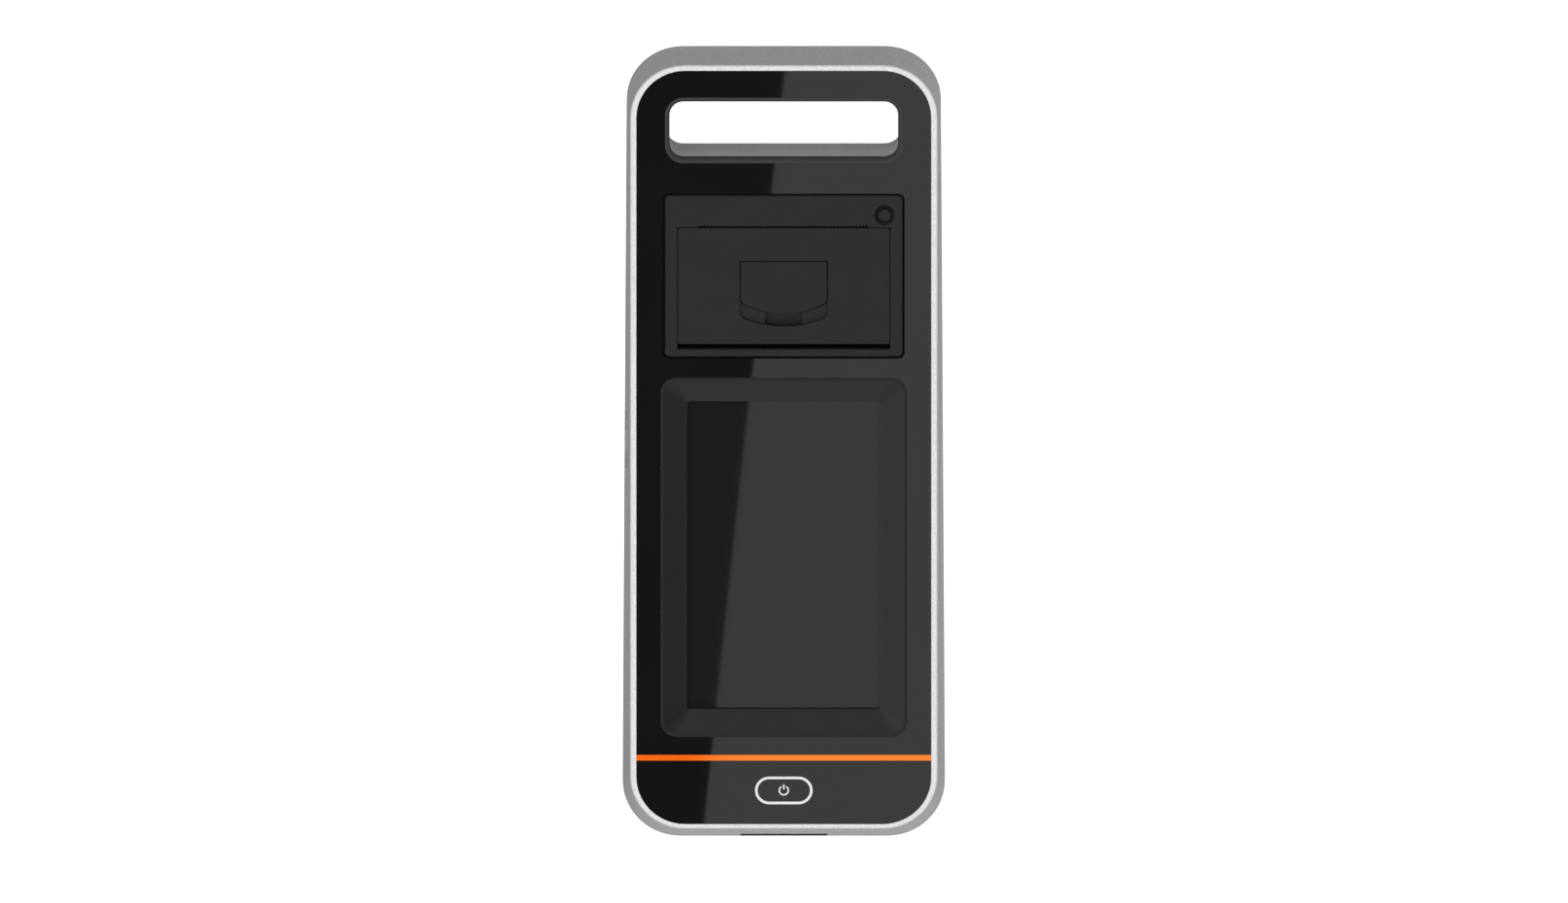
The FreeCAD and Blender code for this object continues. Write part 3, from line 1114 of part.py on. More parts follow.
def idler_pin():
    """Fixed pin of the idler gear, with a collar outside the gear."""
    collar_left = GEAR_RIGHT + CHANNEL_GAP
    pin = rod(IDLER_PIN_RADIUS, V(PLATE_LEFT, IDLER_Y, IDLER_Z), V(collar_left, IDLER_Y, IDLER_Z))
    collar = rod(IDLER_PIN_RADIUS + IDLER_COLLAR, V(collar_left, IDLER_Y, IDLER_Z),
                 V(collar_left + IDLER_COLLAR, IDLER_Y, IDLER_Z))
    return placed(united([pin, collar]), PANEL)


def feed_motor():
    """Stepper motor of the paper drive."""
    can = rod(FEED_MOTOR_RADIUS, V(PLATE_LEFT - FEED_MOTOR_LENGTH, FEED_MOTOR_Y, FEED_MOTOR_Z),
              V(PLATE_LEFT, FEED_MOTOR_Y, FEED_MOTOR_Z))
    rim = FEED_MOTOR_Y + FEED_MOTOR_RADIUS
    lead_block = box(PLATE_LEFT - LEAD_FAR, PLATE_LEFT - LEAD_NEAR, rim - LEAD_SINK, rim + LEAD_PROUD,
                     FEED_MOTOR_Z - LEAD_HALF, FEED_MOTOR_Z + LEAD_HALF)
    return placed(united([can, lead_block]), PANEL)


def motor_pinion():
    """Pinion and shaft of the feed motor."""
    gear = feed_gear(MOTOR_TEETH, FEED_MOTOR_Y, FEED_MOTOR_Z, MOTOR_TURN, MOTOR_SHAFT_RADIUS / 2.0)
    shaft = placed(rod(MOTOR_SHAFT_RADIUS, V(PLATE_LEFT + SHAFT_END, FEED_MOTOR_Y, FEED_MOTOR_Z),
                       V(GEAR_RIGHT + SHAFT_CLEAR, FEED_MOTOR_Y, FEED_MOTOR_Z)), PANEL)
    return united([gear, shaft])


def head_spot(along, away):
    """Point on the print head: along its face upward, and away from the platen."""
    angle = math.radians(HEAD_TURN)
    reach = PLATEN_RADIUS + PAPER_GAP + away
    return (PLATEN_Y + reach * math.cos(angle) - along * math.sin(angle),
            PLATEN_Z + reach * math.sin(angle) + along * math.cos(angle))


def thermal_head():
    """Print head: ceramic strip facing the platen, heat sink behind it and a web up to the printer frame."""
    half = PAPER_HALF_WIDTH - HEAD_SHORT
    sink_half = half - HEAD_STRIP
    back = HEAD_STRIP + HEAD_SINK
    ceramic = across([head_spot(HEAD_LOW, 0.0), head_spot(HEAD_HIGH, 0.0), head_spot(HEAD_HIGH, HEAD_STRIP),
                      head_spot(HEAD_LOW, HEAD_STRIP)], -half, half)
    sink = across([head_spot(HEAD_LOW, HEAD_STRIP), head_spot(HEAD_HIGH, HEAD_STRIP), head_spot(HEAD_HIGH, back),
                   head_spot(HEAD_LOW, back)], -sink_half, sink_half)
    near = head_spot(0.0, back)[0] - HEAD_WEB / 2.0
    foot = head_spot(HEAD_HIGH - HEAD_WEB, HEAD_STRIP + HEAD_SINK / 2.0)[1]
    web = box(-sink_half, sink_half, near, near + HEAD_WEB, foot, FACE_TOP - PRINTER_FACE)
    return placed(united([ceramic, sink, web]), PANEL)


def paper_well():
    """Bucket for the paper roll: round floor, side walls, flange under the printer frame, latch nubs."""
    outer_half = PAPER_HALF_WIDTH + WELL_WALL
    shell_radius = ROLL_RADIUS + WELL_WALL
    top = PRINTER_LOW_FACE
    flange_half = PRINTER_HALF_WIDTH - FLANGE_INSET
    flange = box(-flange_half, flange_half, PRINTER_LOW, LEVER_PIVOT_Y - LATCH_REACH, top - WELL_WALL, top)
    walls = box(-outer_half, outer_half, ROLL_CENTRE_Y - shell_radius, ROLL_CENTRE_Y + shell_radius,
                ROLL_CENTRE_Z, top)
    floor = rod(shell_radius, V(-outer_half, ROLL_CENTRE_Y, ROLL_CENTRE_Z),
                V(outer_half, ROLL_CENTRE_Y, ROLL_CENTRE_Z))
    body = united([floor, walls, flange])
    half = PAPER_HALF_WIDTH
    far = ROLL_CENTRE_Y + 2.0 * shell_radius
    inside = [
        rod(ROLL_RADIUS, V(-half, ROLL_CENTRE_Y, ROLL_CENTRE_Z), V(half, ROLL_CENTRE_Y, ROLL_CENTRE_Z)),
        box(-half, half, ROLL_CENTRE_Y - ROLL_RADIUS, ROLL_CENTRE_Y + ROLL_RADIUS, ROLL_CENTRE_Z, top + PAST),
        box(-outer_half - PAST, outer_half + PAST, LEVER_PIVOT_Y - WELL_CUT, far, PLATEN_Z - PLATEN_RADIUS,
            top + PAST),
        box(-half, half, LEVER_PIVOT_Y - WELL_STEP, far, PLATEN_Z - PLATEN_RADIUS - WELL_STEP_DEPTH, top + PAST),
    ]
    body = minus(body, inside)
    nub_top = LEVER_PIVOT_Z - LATCH_REACH - NUB_DROP
    nubs = []
    for side in (-1, 1):
        near = side * (outer_half - NUB_SINK)
        far_x = side * (outer_half + NUB_PROUD)
        nubs.append(box(min(near, far_x), max(near, far_x), LEVER_PIVOT_Y + NUB_NEAR, LEVER_PIVOT_Y + NUB_FAR,
                        nub_top - NUB_HEIGHT, nub_top))
    return placed(only_solid(united([body] + nubs)), PANEL)


FEED_LOW = FACE_TOP - PRINTER_FACE - FEED_STEM
FEED_SWITCH_TOP = FEED_LOW - FEED_TRAVEL - SWITCH_CLEARANCE


def feed_button():
    """Paper feed button with a collar under the printer frame's face."""
    body = rod(FEED_RADIUS, V(FEED_X, FEED_Y, FEED_LOW), V(FEED_X, FEED_Y, FEED_PROUD))
    crown = [edge for edge in body.Edges if all(abs(vertex.Point.z - FEED_PROUD) < 1e-6 for vertex in edge.Vertexes)]
    body = body.makeFillet(FEED_CROWN, crown)
    collar_top = FACE_TOP - PRINTER_FACE - FEED_COLLAR_GAP
    collar = rod(FEED_RADIUS + FEED_COLLAR, V(FEED_X, FEED_Y, collar_top - FEED_COLLAR_HEIGHT),
                 V(FEED_X, FEED_Y, collar_top))
    return placed(united([body, collar]), PANEL)


def feed_switch():
    """Switch under the feed button on its small board."""
    board_top = PRINTER_LOW_FACE + FEED_BOARD
    body_top = FEED_SWITCH_TOP - SWITCH_PLUNGER
    plunger = rod(FEED_PLUNGER_RADIUS, V(FEED_X, FEED_Y, board_top), V(FEED_X, FEED_Y, FEED_SWITCH_TOP))
    half = FEED_SWITCH_HALF
    switch = box(FEED_X - half, FEED_X + half, FEED_Y - half, FEED_Y + half, board_top, body_top)
    board = box(PLATE_LEFT, OPENING_HALF_WIDTH - EDGE_CLEAR, FEED_Y - FEED_BOARD_NEAR, MECHANISM_TOP - EDGE_CLEAR,
                PRINTER_LOW_FACE, board_top)
    return placed(united([plunger, switch, board]), PANEL)


# ================================================================ rear housing
HOUSING_LOW = DESK_GAP + COVER_EDGE


def low_wall(height):
    """Outer face of the front frame's low wall at a height above the desk."""
    level_y = FRAME_LOW * math.cos(math.radians(PANEL_TILT))
    level_z = PANEL_HEIGHT + FRAME_LOW * math.sin(math.radians(PANEL_TILT))
    return level_y - (level_z - height) * slope(LOW_DRAFT - PANEL_TILT)


LEDGE_TOP_HEIGHT = LEDGE_HEIGHT + LEDGE_RISE
HOUSING_FRONT = low_wall(HOUSING_FRONT_HEIGHT) + HOUSING_END_INSET
FOOT_FRONT = HOUSING_FRONT + FOOT_END_INSET
FOOT_REAR = REAR_FOOT - FOOT_REAR_INSET


def housing_section(z, front, rear, inset, rear_corner):
    """Outline of the housing at height z, moved inward by an inset."""
    half = HOUSING_HALF_WIDTH - inset
    return outline(-half, half, front + inset, rear - inset, max(FRONT_CORNER - inset, 2.0),
                   max(rear_corner - inset, 2.0), z)


def housing_form(inset, low):
    """Form of the rear housing above a height, moved inward by an inset."""
    grow = REAR_CORNER_TOP - REAR_CORNER_FOOT
    middle_corner = REAR_CORNER_FOOT + grow * LEDGE_HEIGHT / HOUSING_REACH
    wall_run = (REAR_LEDGE - REAR_FOOT) / (LEDGE_HEIGHT - REAR_FOOT_HEIGHT)
    rear_low = REAR_FOOT + wall_run * (low - REAR_FOOT_HEIGHT)
    upper_run = (REAR_TOP - REAR_UPPER) / (SEAM_HEIGHT + REAR_TOP * slope(SEAM_TILT) - LEDGE_TOP_HEIGHT)
    rear_high = REAR_UPPER + upper_run * (HOUSING_REACH - LEDGE_TOP_HEIGHT)
    front_run = EDGE_ROUND + FRONT_RUN
    levels = [
        (low, HOUSING_FRONT + front_run, rear_low - EDGE_ROUND, inset + EDGE_ROUND, REAR_CORNER_FOOT),
        (low + 0.4 * EDGE_ROUND, HOUSING_FRONT + 0.75 * front_run, rear_low - 0.35 * EDGE_ROUND,
         inset + 0.35 * EDGE_ROUND, REAR_CORNER_FOOT),
        (low + 1.4 * EDGE_ROUND, HOUSING_FRONT + 0.42 * front_run, REAR_FOOT, inset, REAR_CORNER_FOOT),
        (HOUSING_FRONT_HEIGHT, HOUSING_FRONT, REAR_FOOT + wall_run * (HOUSING_FRONT_HEIGHT - REAR_FOOT_HEIGHT),
         inset, REAR_CORNER_FOOT),
        (LEDGE_HEIGHT, HOUSING_FRONT, REAR_LEDGE, inset, middle_corner),
        (LEDGE_HEIGHT + 0.55 * LEDGE_RISE, HOUSING_FRONT, REAR_LEDGE + 0.3 * (REAR_UPPER - REAR_LEDGE), inset,
         middle_corner + 0.8),
        (LEDGE_HEIGHT + 0.82 * LEDGE_RISE, HOUSING_FRONT, REAR_LEDGE + 0.68 * (REAR_UPPER - REAR_LEDGE), inset,
         middle_corner + 1.6),
        (LEDGE_TOP_HEIGHT, HOUSING_FRONT, REAR_UPPER, inset, middle_corner + 2.4),
        (HOUSING_REACH, HOUSING_FRONT, rear_high, inset, REAR_CORNER_TOP + 2.0),
    ]
    sections = []
    for z, front, rear, move, corner in levels:
        shift = move - inset
        sections.append(housing_section(z, front - shift, rear + shift, move, corner))
    return loft(sections)


def below_seam(offset):
    """Space behind the seam plane, moved outward from it by an offset."""
    reach = 400.0
    return placed(box(-reach, reach, -reach, reach, -reach, offset), SEAM)


COVER_HALF_WIDTH = HOUSING_HALF_WIDTH - EDGE_ROUND - COVER_INSET
COVER_FRONT = HOUSING_FRONT + EDGE_ROUND + FRONT_RUN + COVER_INSET
COVER_REAR = REAR_FOOT - EDGE_ROUND - SPIGOT_GAP
COVER_CORNER = REAR_CORNER_FOOT - COVER_INSET
COVER_TOP = HOUSING_LOW + COVER_SPIGOT


def rear_wall(z):
    """Outer face of the lower rear wall at height z."""
    return REAR_FOOT + (REAR_LEDGE - REAR_FOOT) * (z - REAR_FOOT_HEIGHT) / (LEDGE_HEIGHT - REAR_FOOT_HEIGHT)


def port_box(centre, size, margin, y0, y1):
    """Block of a connector body, widened by a margin."""
    half = size[0] / 2.0 + margin
    return box(centre - half, centre + half, y0, y1, PORT_BASE - margin, PORT_BASE + size[1] + margin)


def rear_housing():
    """Dark rear housing: shell open towards the frame and the bottom cover, bosses, tabs and port windows."""
    outer = housing_form(0.0, HOUSING_LOW).common(below_seam(0.0))
    inner = housing_form(HOUSING_WALL, HOUSING_LOW + HOUSING_WALL)
    opening = centred_slab(COVER_HALF_WIDTH - SPIGOT_INSET, COVER_FRONT + SPIGOT_INSET, COVER_REAR - SPIGOT_INSET,
                           COVER_CORNER, 0.0, HOUSING_LOW + HOUSING_WALL + PAST)
    body = only_solid(outer.cut(inner.fuse(opening)))
    additions = [body]
    inside = housing_form(HOUSING_WALL / 2.0, HOUSING_LOW).common(below_seam(0.0))
    boss_low = COVER_TOP + COVER_LIFT
    boss_top = COVER_TOP + COVER_BOSS_HEIGHT
    for side in (-1, 1):
        wall_x = side * HOUSING_HALF_WIDTH
        for along in COVER_SCREW_Y:
            foot_x = side * FOOT_X
            boss = rod(BOSS_RADIUS, V(foot_x, along, boss_low), V(foot_x, along, boss_top))
            web = box(min(foot_x, wall_x), max(foot_x, wall_x), along - RIB_HALF, along + RIB_HALF, boss_low, boss_top)
            additions += [boss.common(inside), web.common(inside)]
        for along in FRAME_SCREW_Y:
            tab_x = side * (FRAME_SCREW_X - BOSS_RADIUS)
            tab = box(min(tab_x, wall_x), max(tab_x, wall_x), along - TAB_HALF_LENGTH, along + TAB_HALF_LENGTH,
                      -TAB_THICKNESS, 0.0)
            additions.append(placed(tab, SEAM).common(inside))
    body = united(additions)
    cuts = [tray_opening(TRAY_GAP)]
    for side in (-1, 1):
        for along in COVER_SCREW_Y:
            cuts.append(rod(SCREW_RADIUS, V(side * FOOT_X, along, COVER_TOP - PAST),
                            V(side * FOOT_X, along, boss_top - SCREW_PILOT)))
        for along in FRAME_SCREW_Y:
            cuts.append(placed(rod(SCREW_RADIUS + SCREW_CLEARANCE,
                                   V(side * FRAME_SCREW_X, along, -TAB_THICKNESS - PAST),
                                   V(side * FRAME_SCREW_X, along, PAST)), SEAM))
    for centre, size in ((JACK_X, JACK_SIZE), (USB_X, USB_SIZE), (NET_X, NET_SIZE)):
        cuts.append(port_box(centre, size, PORT_GAP, IO_BOARD_Y, REAR_UPPER + PAST))
    return only_solid(minus(body, cuts))


def bottom_cover():
    """Bottom cover: plate with a spigot into the housing, foot bosses and countersunk screw holes."""
    plate = centred_slab(COVER_HALF_WIDTH, COVER_FRONT, COVER_REAR, COVER_CORNER, DESK_GAP, HOUSING_LOW)
    rim = [edge for edge in plate.Edges if all(abs(vertex.Point.z - DESK_GAP) < 1e-6 for vertex in edge.Vertexes)]
    plate = plate.makeFillet(COVER_ROUND, rim)
    inset = SPIGOT_INSET + SPIGOT_GAP
    spigot = centred_slab(COVER_HALF_WIDTH - inset, COVER_FRONT + inset, COVER_REAR - inset,
                          COVER_CORNER - SPIGOT_GAP, HOUSING_LOW, COVER_TOP)
    parts = [plate, spigot]
    for side in (-1, 1):
        for along in (FOOT_FRONT, FOOT_REAR):
            parts.append(Part.makeCone(FOOT_BOSS_LOW, FOOT_BOSS, DESK_GAP - FOOT_HEIGHT,
                                       V(side * FOOT_X, along, FOOT_HEIGHT)))
    body = united(parts)
    cuts = []
    for side in (-1, 1):
        for along in COVER_SCREW_Y:
            cuts.append(rod(SCREW_RADIUS + SCREW_CLEARANCE, V(side * FOOT_X, along, 0.0),
                            V(side * FOOT_X, along, COVER_TOP + PAST)))
            cuts.append(rod(SCREW_HEAD + HEAD_CLEARANCE, V(side * FOOT_X, along, 0.0),
                            V(side * FOOT_X, along, DESK_GAP + SCREW_HEAD_HEIGHT)))
    return minus(body, cuts)


def foot_pads():
    """Four round rubber pads under the foot bosses."""
    pads = []
    for side in (-1, 1):
        for along in (FOOT_FRONT, FOOT_REAR):
            pad = rod(FOOT_RADIUS, V(side * FOOT_X, along, 0.0), V(side * FOOT_X, along, FOOT_HEIGHT))
            sole = [edge for edge in pad.Edges if all(abs(vertex.Point.z) < 1e-6 for vertex in edge.Vertexes)]
            pads.append(pad.makeFillet(FOOT_EDGE, sole))
    return Part.makeCompound(pads)


def cross_screw(length):
    """Pan-head screw along +Z from its head: cross recess in the head, plain shank."""
    head = Part.makeCylinder(SCREW_HEAD, SCREW_HEAD_HEIGHT, V(0, 0, 0))
    edge = [item for item in head.Edges if all(abs(vertex.Point.z) < 1e-6 for vertex in item.Vertexes)]
    head = head.makeFillet(HEAD_ROUND, edge)
    shank = Part.makeCylinder(SCREW_RADIUS, length, V(0, 0, SCREW_HEAD_HEIGHT))
    screw = united([head, shank])
    slots = [box(-x, x, -y, y, -PAST, CROSS_DEPTH)
             for x, y in ((CROSS_LENGTH, CROSS_WIDTH), (CROSS_WIDTH, CROSS_LENGTH))]
    return minus(screw, slots)


def cover_screws():
    """Four screws that hold the bottom cover."""
    screws = []
    for side in (-1, 1):
        for along in COVER_SCREW_Y:
            screw = cross_screw(COVER_SCREW_LENGTH)
            screw.translate(V(side * FOOT_X, along, DESK_GAP))
            screws.append(screw)
    return Part.makeCompound(screws)


def frame_screws():
    """Six screws from inside the housing into the front frame."""
    screws = []
    for side in (-1, 1):
        for along in FRAME_SCREW_Y:
            screw = cross_screw(TAB_THICKNESS + FRAME_SCREW_GRIP)
            screw.translate(V(side * FRAME_SCREW_X, along, -TAB_THICKNESS - SCREW_HEAD_HEIGHT))
            screws.append(placed(screw, SEAM))
    return Part.makeCompound(screws)


# ================================================================ cassette drawer
TRAY_BODY_FRONT = low_wall(TRAY_FRONT_TOP) + TRAY_FRONT_THICKNESS
TRAY_REAR = TRAY_BODY_FRONT + TRAY_LENGTH
PINION_Y = TRAY_BODY_FRONT + PINION_SETBACK
CASSETTE_FRONT = TRAY_BODY_FRONT + CASSETTE_MARGIN
RACK_PITCH_RADIUS = RACK_TEETH * RACK_MODULE / 2.0
PINION_X = RACK_PITCH_X + RACK_PITCH_RADIUS
RACK_ROOT_X = RACK_PITCH_X - GEAR_DEDENDUM * RACK_MODULE
RACK_TIP_X = RACK_PITCH_X + GEAR_ADDENDUM * RACK_MODULE
RACK_BACK_X = RACK_ROOT_X - RACK_WEB
RACK_PITCH = math.pi * RACK_MODULE


def tray_front():
    """Dark front of the drawer, flush with the sloping low wall."""
    block = box(-TRAY_FRONT_HALF_WIDTH, TRAY_FRONT_HALF_WIDTH, TRAY_BODY_FRONT - FAR_PAST, TRAY_BODY_FRONT,
                TRAY_FRONT_LOW, TRAY_FRONT_TOP)
    outer = placed(loft([frame_outline(0.0, 0.0), frame_outline(0.0, -FRAME_REACH)]), PANEL)
    return only_solid(block.common(outer))


def test_tray():
    """Cassette tray: recess for a test cassette with a thumb cut on each side, groove for the rack."""
    body = box(-TRAY_HALF_WIDTH, TRAY_HALF_WIDTH, TRAY_BODY_FRONT, TRAY_REAR, TRAY_LOW, TRAY_TOP)
    recess = slab(-CASSETTE_HALF_WIDTH, CASSETTE_HALF_WIDTH, CASSETTE_FRONT, CASSETTE_FRONT + CASSETTE_LENGTH,
                  CASSETTE_CORNER, TRAY_TOP - CASSETTE_DEPTH, TRAY_TOP + PAST)
    middle = CASSETTE_FRONT + CASSETTE_LENGTH * THUMB_PLACE
    reach = TRAY_HALF_WIDTH + PAST
    thumb = rod(THUMB_RADIUS, V(-reach, middle, TRAY_TOP + THUMB_RISE), V(reach, middle, TRAY_TOP + THUMB_RISE))
    groove = box(RACK_BACK_X, reach, TRAY_BODY_FRONT + LIGHT_END, TRAY_REAR + PAST, RACK_LOW,
                 RACK_LOW + RACK_HEIGHT)
    light = box(-LIGHT_HALF_WIDTH, LIGHT_HALF_WIDTH, CASSETTE_FRONT + CASSETTE_LENGTH + LIGHT_HALF_WIDTH,
                TRAY_REAR - LIGHT_END, TRAY_LOW + BED_WALL, TRAY_TOP + PAST)
    return minus(body, [recess, thumb, groove, light])


RACK_COUNT = int(math.ceil((TRAY_TRAVEL + 6.0 * RACK_PITCH) / RACK_PITCH))


def tray_rack():
    """Rack in the tray's side groove; its teeth point to the right, one gap at the pinion's middle."""
    half_pitch_line = RACK_PITCH / 4.0 * (1.0 - GEAR_BACKLASH)
    rise = math.tan(GEAR_PRESSURE)
    root_half = half_pitch_line + GEAR_DEDENDUM * RACK_MODULE * rise
    tip_half = half_pitch_line - GEAR_ADDENDUM * RACK_MODULE * rise
    first = PINION_Y - 3.5 * RACK_PITCH
    points = [V(RACK_BACK_X, first - RACK_PITCH / 2.0, RACK_LOW)]
    points.append(V(RACK_ROOT_X, first - RACK_PITCH / 2.0, RACK_LOW))
    for index in range(RACK_COUNT):
        centre = first + index * RACK_PITCH
        points.append(V(RACK_ROOT_X, centre - root_half, RACK_LOW))
        points.append(V(RACK_TIP_X, centre - tip_half, RACK_LOW))
        points.append(V(RACK_TIP_X, centre + tip_half, RACK_LOW))
        points.append(V(RACK_ROOT_X, centre + root_half, RACK_LOW))
    last = first + (RACK_COUNT - 0.5) * RACK_PITCH
    points.append(V(RACK_ROOT_X, last, RACK_LOW))
    points.append(V(RACK_BACK_X, last, RACK_LOW))
    return polygon_prism(points, V(0, 0, RACK_HEIGHT))


PINION_LOW = RACK_LOW + PINION_CLEAR
PINION_TOP = RACK_LOW + RACK_HEIGHT - PINION_CLEAR
MOTOR_SEAT = TRAY_TOP + MOTOR_LIFT
BED_LEFT = -TRAY_HALF_WIDTH - TRAY_GAP
BED_RIGHT = RACK_TIP_X + TRAY_GAP
BED_FRONT = TRAY_BODY_FRONT + BED_SETBACK
BED_REAR = TRAY_REAR + BED_BEYOND
BED_TOP = TRAY_TOP - BED_DROP
BED_LIPS = PINION_Y + MOTOR_RADIUS + BED_WALL * 2.0    # the lips over the tray start behind the motor


def drive_pinion():
    """Drawer pinion and the motor shaft it sits on; one tooth points at the rack."""
    points = [V(PINION_X + a, PINION_Y + b, PINION_LOW) for a, b in gear_points(RACK_TEETH, RACK_MODULE, math.pi)]
    gear = polygon_prism(points, V(0, 0, PINION_TOP - PINION_LOW))
    shaft = rod(PINION_SHAFT_RADIUS, V(PINION_X, PINION_Y, PINION_LOW - PINION_STUB),
                V(PINION_X, PINION_Y, MOTOR_SEAT - SHAFT_END))
    return united([gear, shaft])


def tray_bed():
    """Guide channel of the drawer: floor, two walls with top lips, feet on the cover, stop at the rear."""
    floor_top = TRAY_LOW - TRAY_GAP
    floor_low = floor_top - BED_THICKNESS
    floor = box(BED_LEFT - BED_WALL, BED_RIGHT + BED_WALL, BED_FRONT, BED_REAR, floor_low, floor_top)
    left = box(BED_LEFT - BED_WALL, BED_LEFT, BED_FRONT, BED_REAR, floor_low, BED_TOP)
    right = box(BED_RIGHT, BED_RIGHT + BED_WALL, BED_FRONT, BED_REAR, floor_low, BED_TOP)
    lip_low = TRAY_TOP + TRAY_GAP
    lip_top = lip_low + LIP_HEIGHT
    lip_left = box(BED_LEFT - BED_WALL, BED_LEFT + LIP_LEFT, BED_LIPS, BED_REAR, lip_low, lip_top)
    lip_right = box(TRAY_HALF_WIDTH - LIP_RIGHT, BED_RIGHT + BED_WALL, BED_LIPS, BED_REAR, lip_low, lip_top)
    cheek_left = box(BED_LEFT - BED_WALL, BED_LEFT, BED_LIPS, BED_REAR, BED_TOP, lip_low)
    cheek_right = box(BED_RIGHT, BED_RIGHT + BED_WALL, BED_LIPS, BED_REAR, BED_TOP, lip_low)
    stop = box(BED_LEFT - BED_WALL, BED_RIGHT + BED_WALL, TRAY_REAR + BED_STOP, BED_REAR, floor_low, TRAY_TOP)
    parts = [floor, left, right, lip_left, lip_right, cheek_left, cheek_right, stop]
    for foot_y in (BED_FRONT + BED_FOOT, BED_REAR - 2.0 * BED_FOOT):
        for foot_x in (BED_LEFT - BED_WALL, BED_RIGHT + BED_WALL - BED_FOOT):
            parts.append(box(foot_x, foot_x + BED_FOOT, foot_y, foot_y + BED_FOOT, COVER_TOP, floor_low))
    body = united(parts)
    reach = RACK_PITCH_RADIUS + RACK_MODULE + PINION_ROOM
    window = rod(reach, V(PINION_X, PINION_Y, PINION_LOW - PINION_STUB - PINION_CLEAR),
                 V(PINION_X, PINION_Y, MOTOR_SEAT))
    return minus(body, [window])


def motor_bracket():
    """Bracket that holds the drawer motor over the pinion, standing on the bottom cover."""
    near = PINION_Y - BRACKET_HALF_LENGTH
    far = PINION_Y + BRACKET_HALF_LENGTH
    right = PINION_X + BRACKET_REACH
    left = right - BRACKET_THICKNESS
    plate = box(PINION_X - BRACKET_NEAR, right, near, far, MOTOR_SEAT - BRACKET_THICKNESS, MOTOR_SEAT)
    leg = box(left, right, near, far, COVER_TOP, MOTOR_SEAT)
    foot = box(left, right + BRACKET_FOOT, near, far, COVER_TOP, COVER_TOP + BRACKET_THICKNESS)
    body = united([plate, leg, foot])
    return minus(body, [rod(BRACKET_HOLE, V(PINION_X, PINION_Y, COVER_TOP), V(PINION_X, PINION_Y, MOTOR_SEAT + PAST))])


def tray_motor():
    """Motor of the cassette drawer."""
    can = rod(MOTOR_RADIUS, V(PINION_X, PINION_Y, MOTOR_SEAT), V(PINION_X, PINION_Y, MOTOR_SEAT + MOTOR_HEIGHT))
    cap = rod(MOTOR_CAP_RADIUS, V(PINION_X, PINION_Y, MOTOR_SEAT + MOTOR_HEIGHT),
              V(PINION_X, PINION_Y, MOTOR_SEAT + MOTOR_HEIGHT + MOTOR_CAP_HEIGHT))
    return united([can, cap])


OPTICS_LOW = TRAY_TOP + OPTICS_LIFT
LENS_Y = CASSETTE_FRONT + OPTICS_PLACE * CASSETTE_LENGTH


def optics_head():
    """Reading head over the tray: dark box on four legs, bored for the lens barrel."""
    front = LENS_Y - OPTICS_HALF_LENGTH
    rear = LENS_Y + OPTICS_HALF_LENGTH
    parts = [box(-OPTICS_HALF_WIDTH, OPTICS_HALF_WIDTH, front, rear, OPTICS_LOW, OPTICS_LOW + OPTICS_HEIGHT)]
    for left in (-OPTICS_HALF_WIDTH, OPTICS_HALF_WIDTH - OPTICS_LEG):
        for near in (front, rear - OPTICS_LEG):
            parts.append(box(left, left + OPTICS_LEG, near, near + OPTICS_LEG, COVER_TOP, OPTICS_LOW))
    body = united(parts)
    bore = rod(LENS_RADIUS, V(0, LENS_Y, TRAY_TOP), V(0, LENS_Y, TRAY_TOP + LENS_LIFT + LENS_LENGTH))
    return minus(body, [bore])


def lens_barrel():
    """Lens barrel of the reading head, pointing down at the cassette."""
    low = TRAY_TOP + LENS_LIFT
    barrel = rod(LENS_RADIUS, V(0, LENS_Y, low), V(0, LENS_Y, low + LENS_LENGTH))
    mouth = Part.makeCone(LENS_RADIUS - LENS_WALL, LENS_RADIUS - 2.0 * LENS_WALL, LENS_WALL, V(0, LENS_Y, low))
    return barrel.cut(mouth)


# ================================================================ electronics
def main_board():
    """Main circuit board on four posts behind the display."""
    board = box(-BOARD_HALF_WIDTH, BOARD_HALF_WIDTH, BOARD_LOW, BOARD_TOP, BOARD_DEPTH - BOARD_THICKNESS, BOARD_DEPTH)
    return placed(board, PANEL)


def board_parts():
    """Chips, shield can, coin cell and connectors on the back of the main board."""
    face = BOARD_DEPTH - BOARD_THICKNESS
    blocks = [
        (-14.0, 6.0, -40.0, -20.0, 1.6),
        (12.0, 30.0, -38.0, -18.0, 2.4),
        (-38.0, -28.0, -60.0, -30.0, 1.2),
        (30.0, 40.0, -72.0, -46.0, 2.5),
        (-8.0, 14.0, -14.0, -8.0, 2.2),
        (-36.0, -22.0, -20.0, -8.0, 1.0),
    ]
    parts = [placed(box(x0, x1, y0, y1, face - height, face), PANEL) for x0, x1, y0, y1, height in blocks]
    parts.append(placed(rod(CELL_RADIUS, V(-12.0, -56.0, face - CELL_HEIGHT), V(-12.0, -56.0, face)), PANEL))
    return Part.makeCompound(parts)



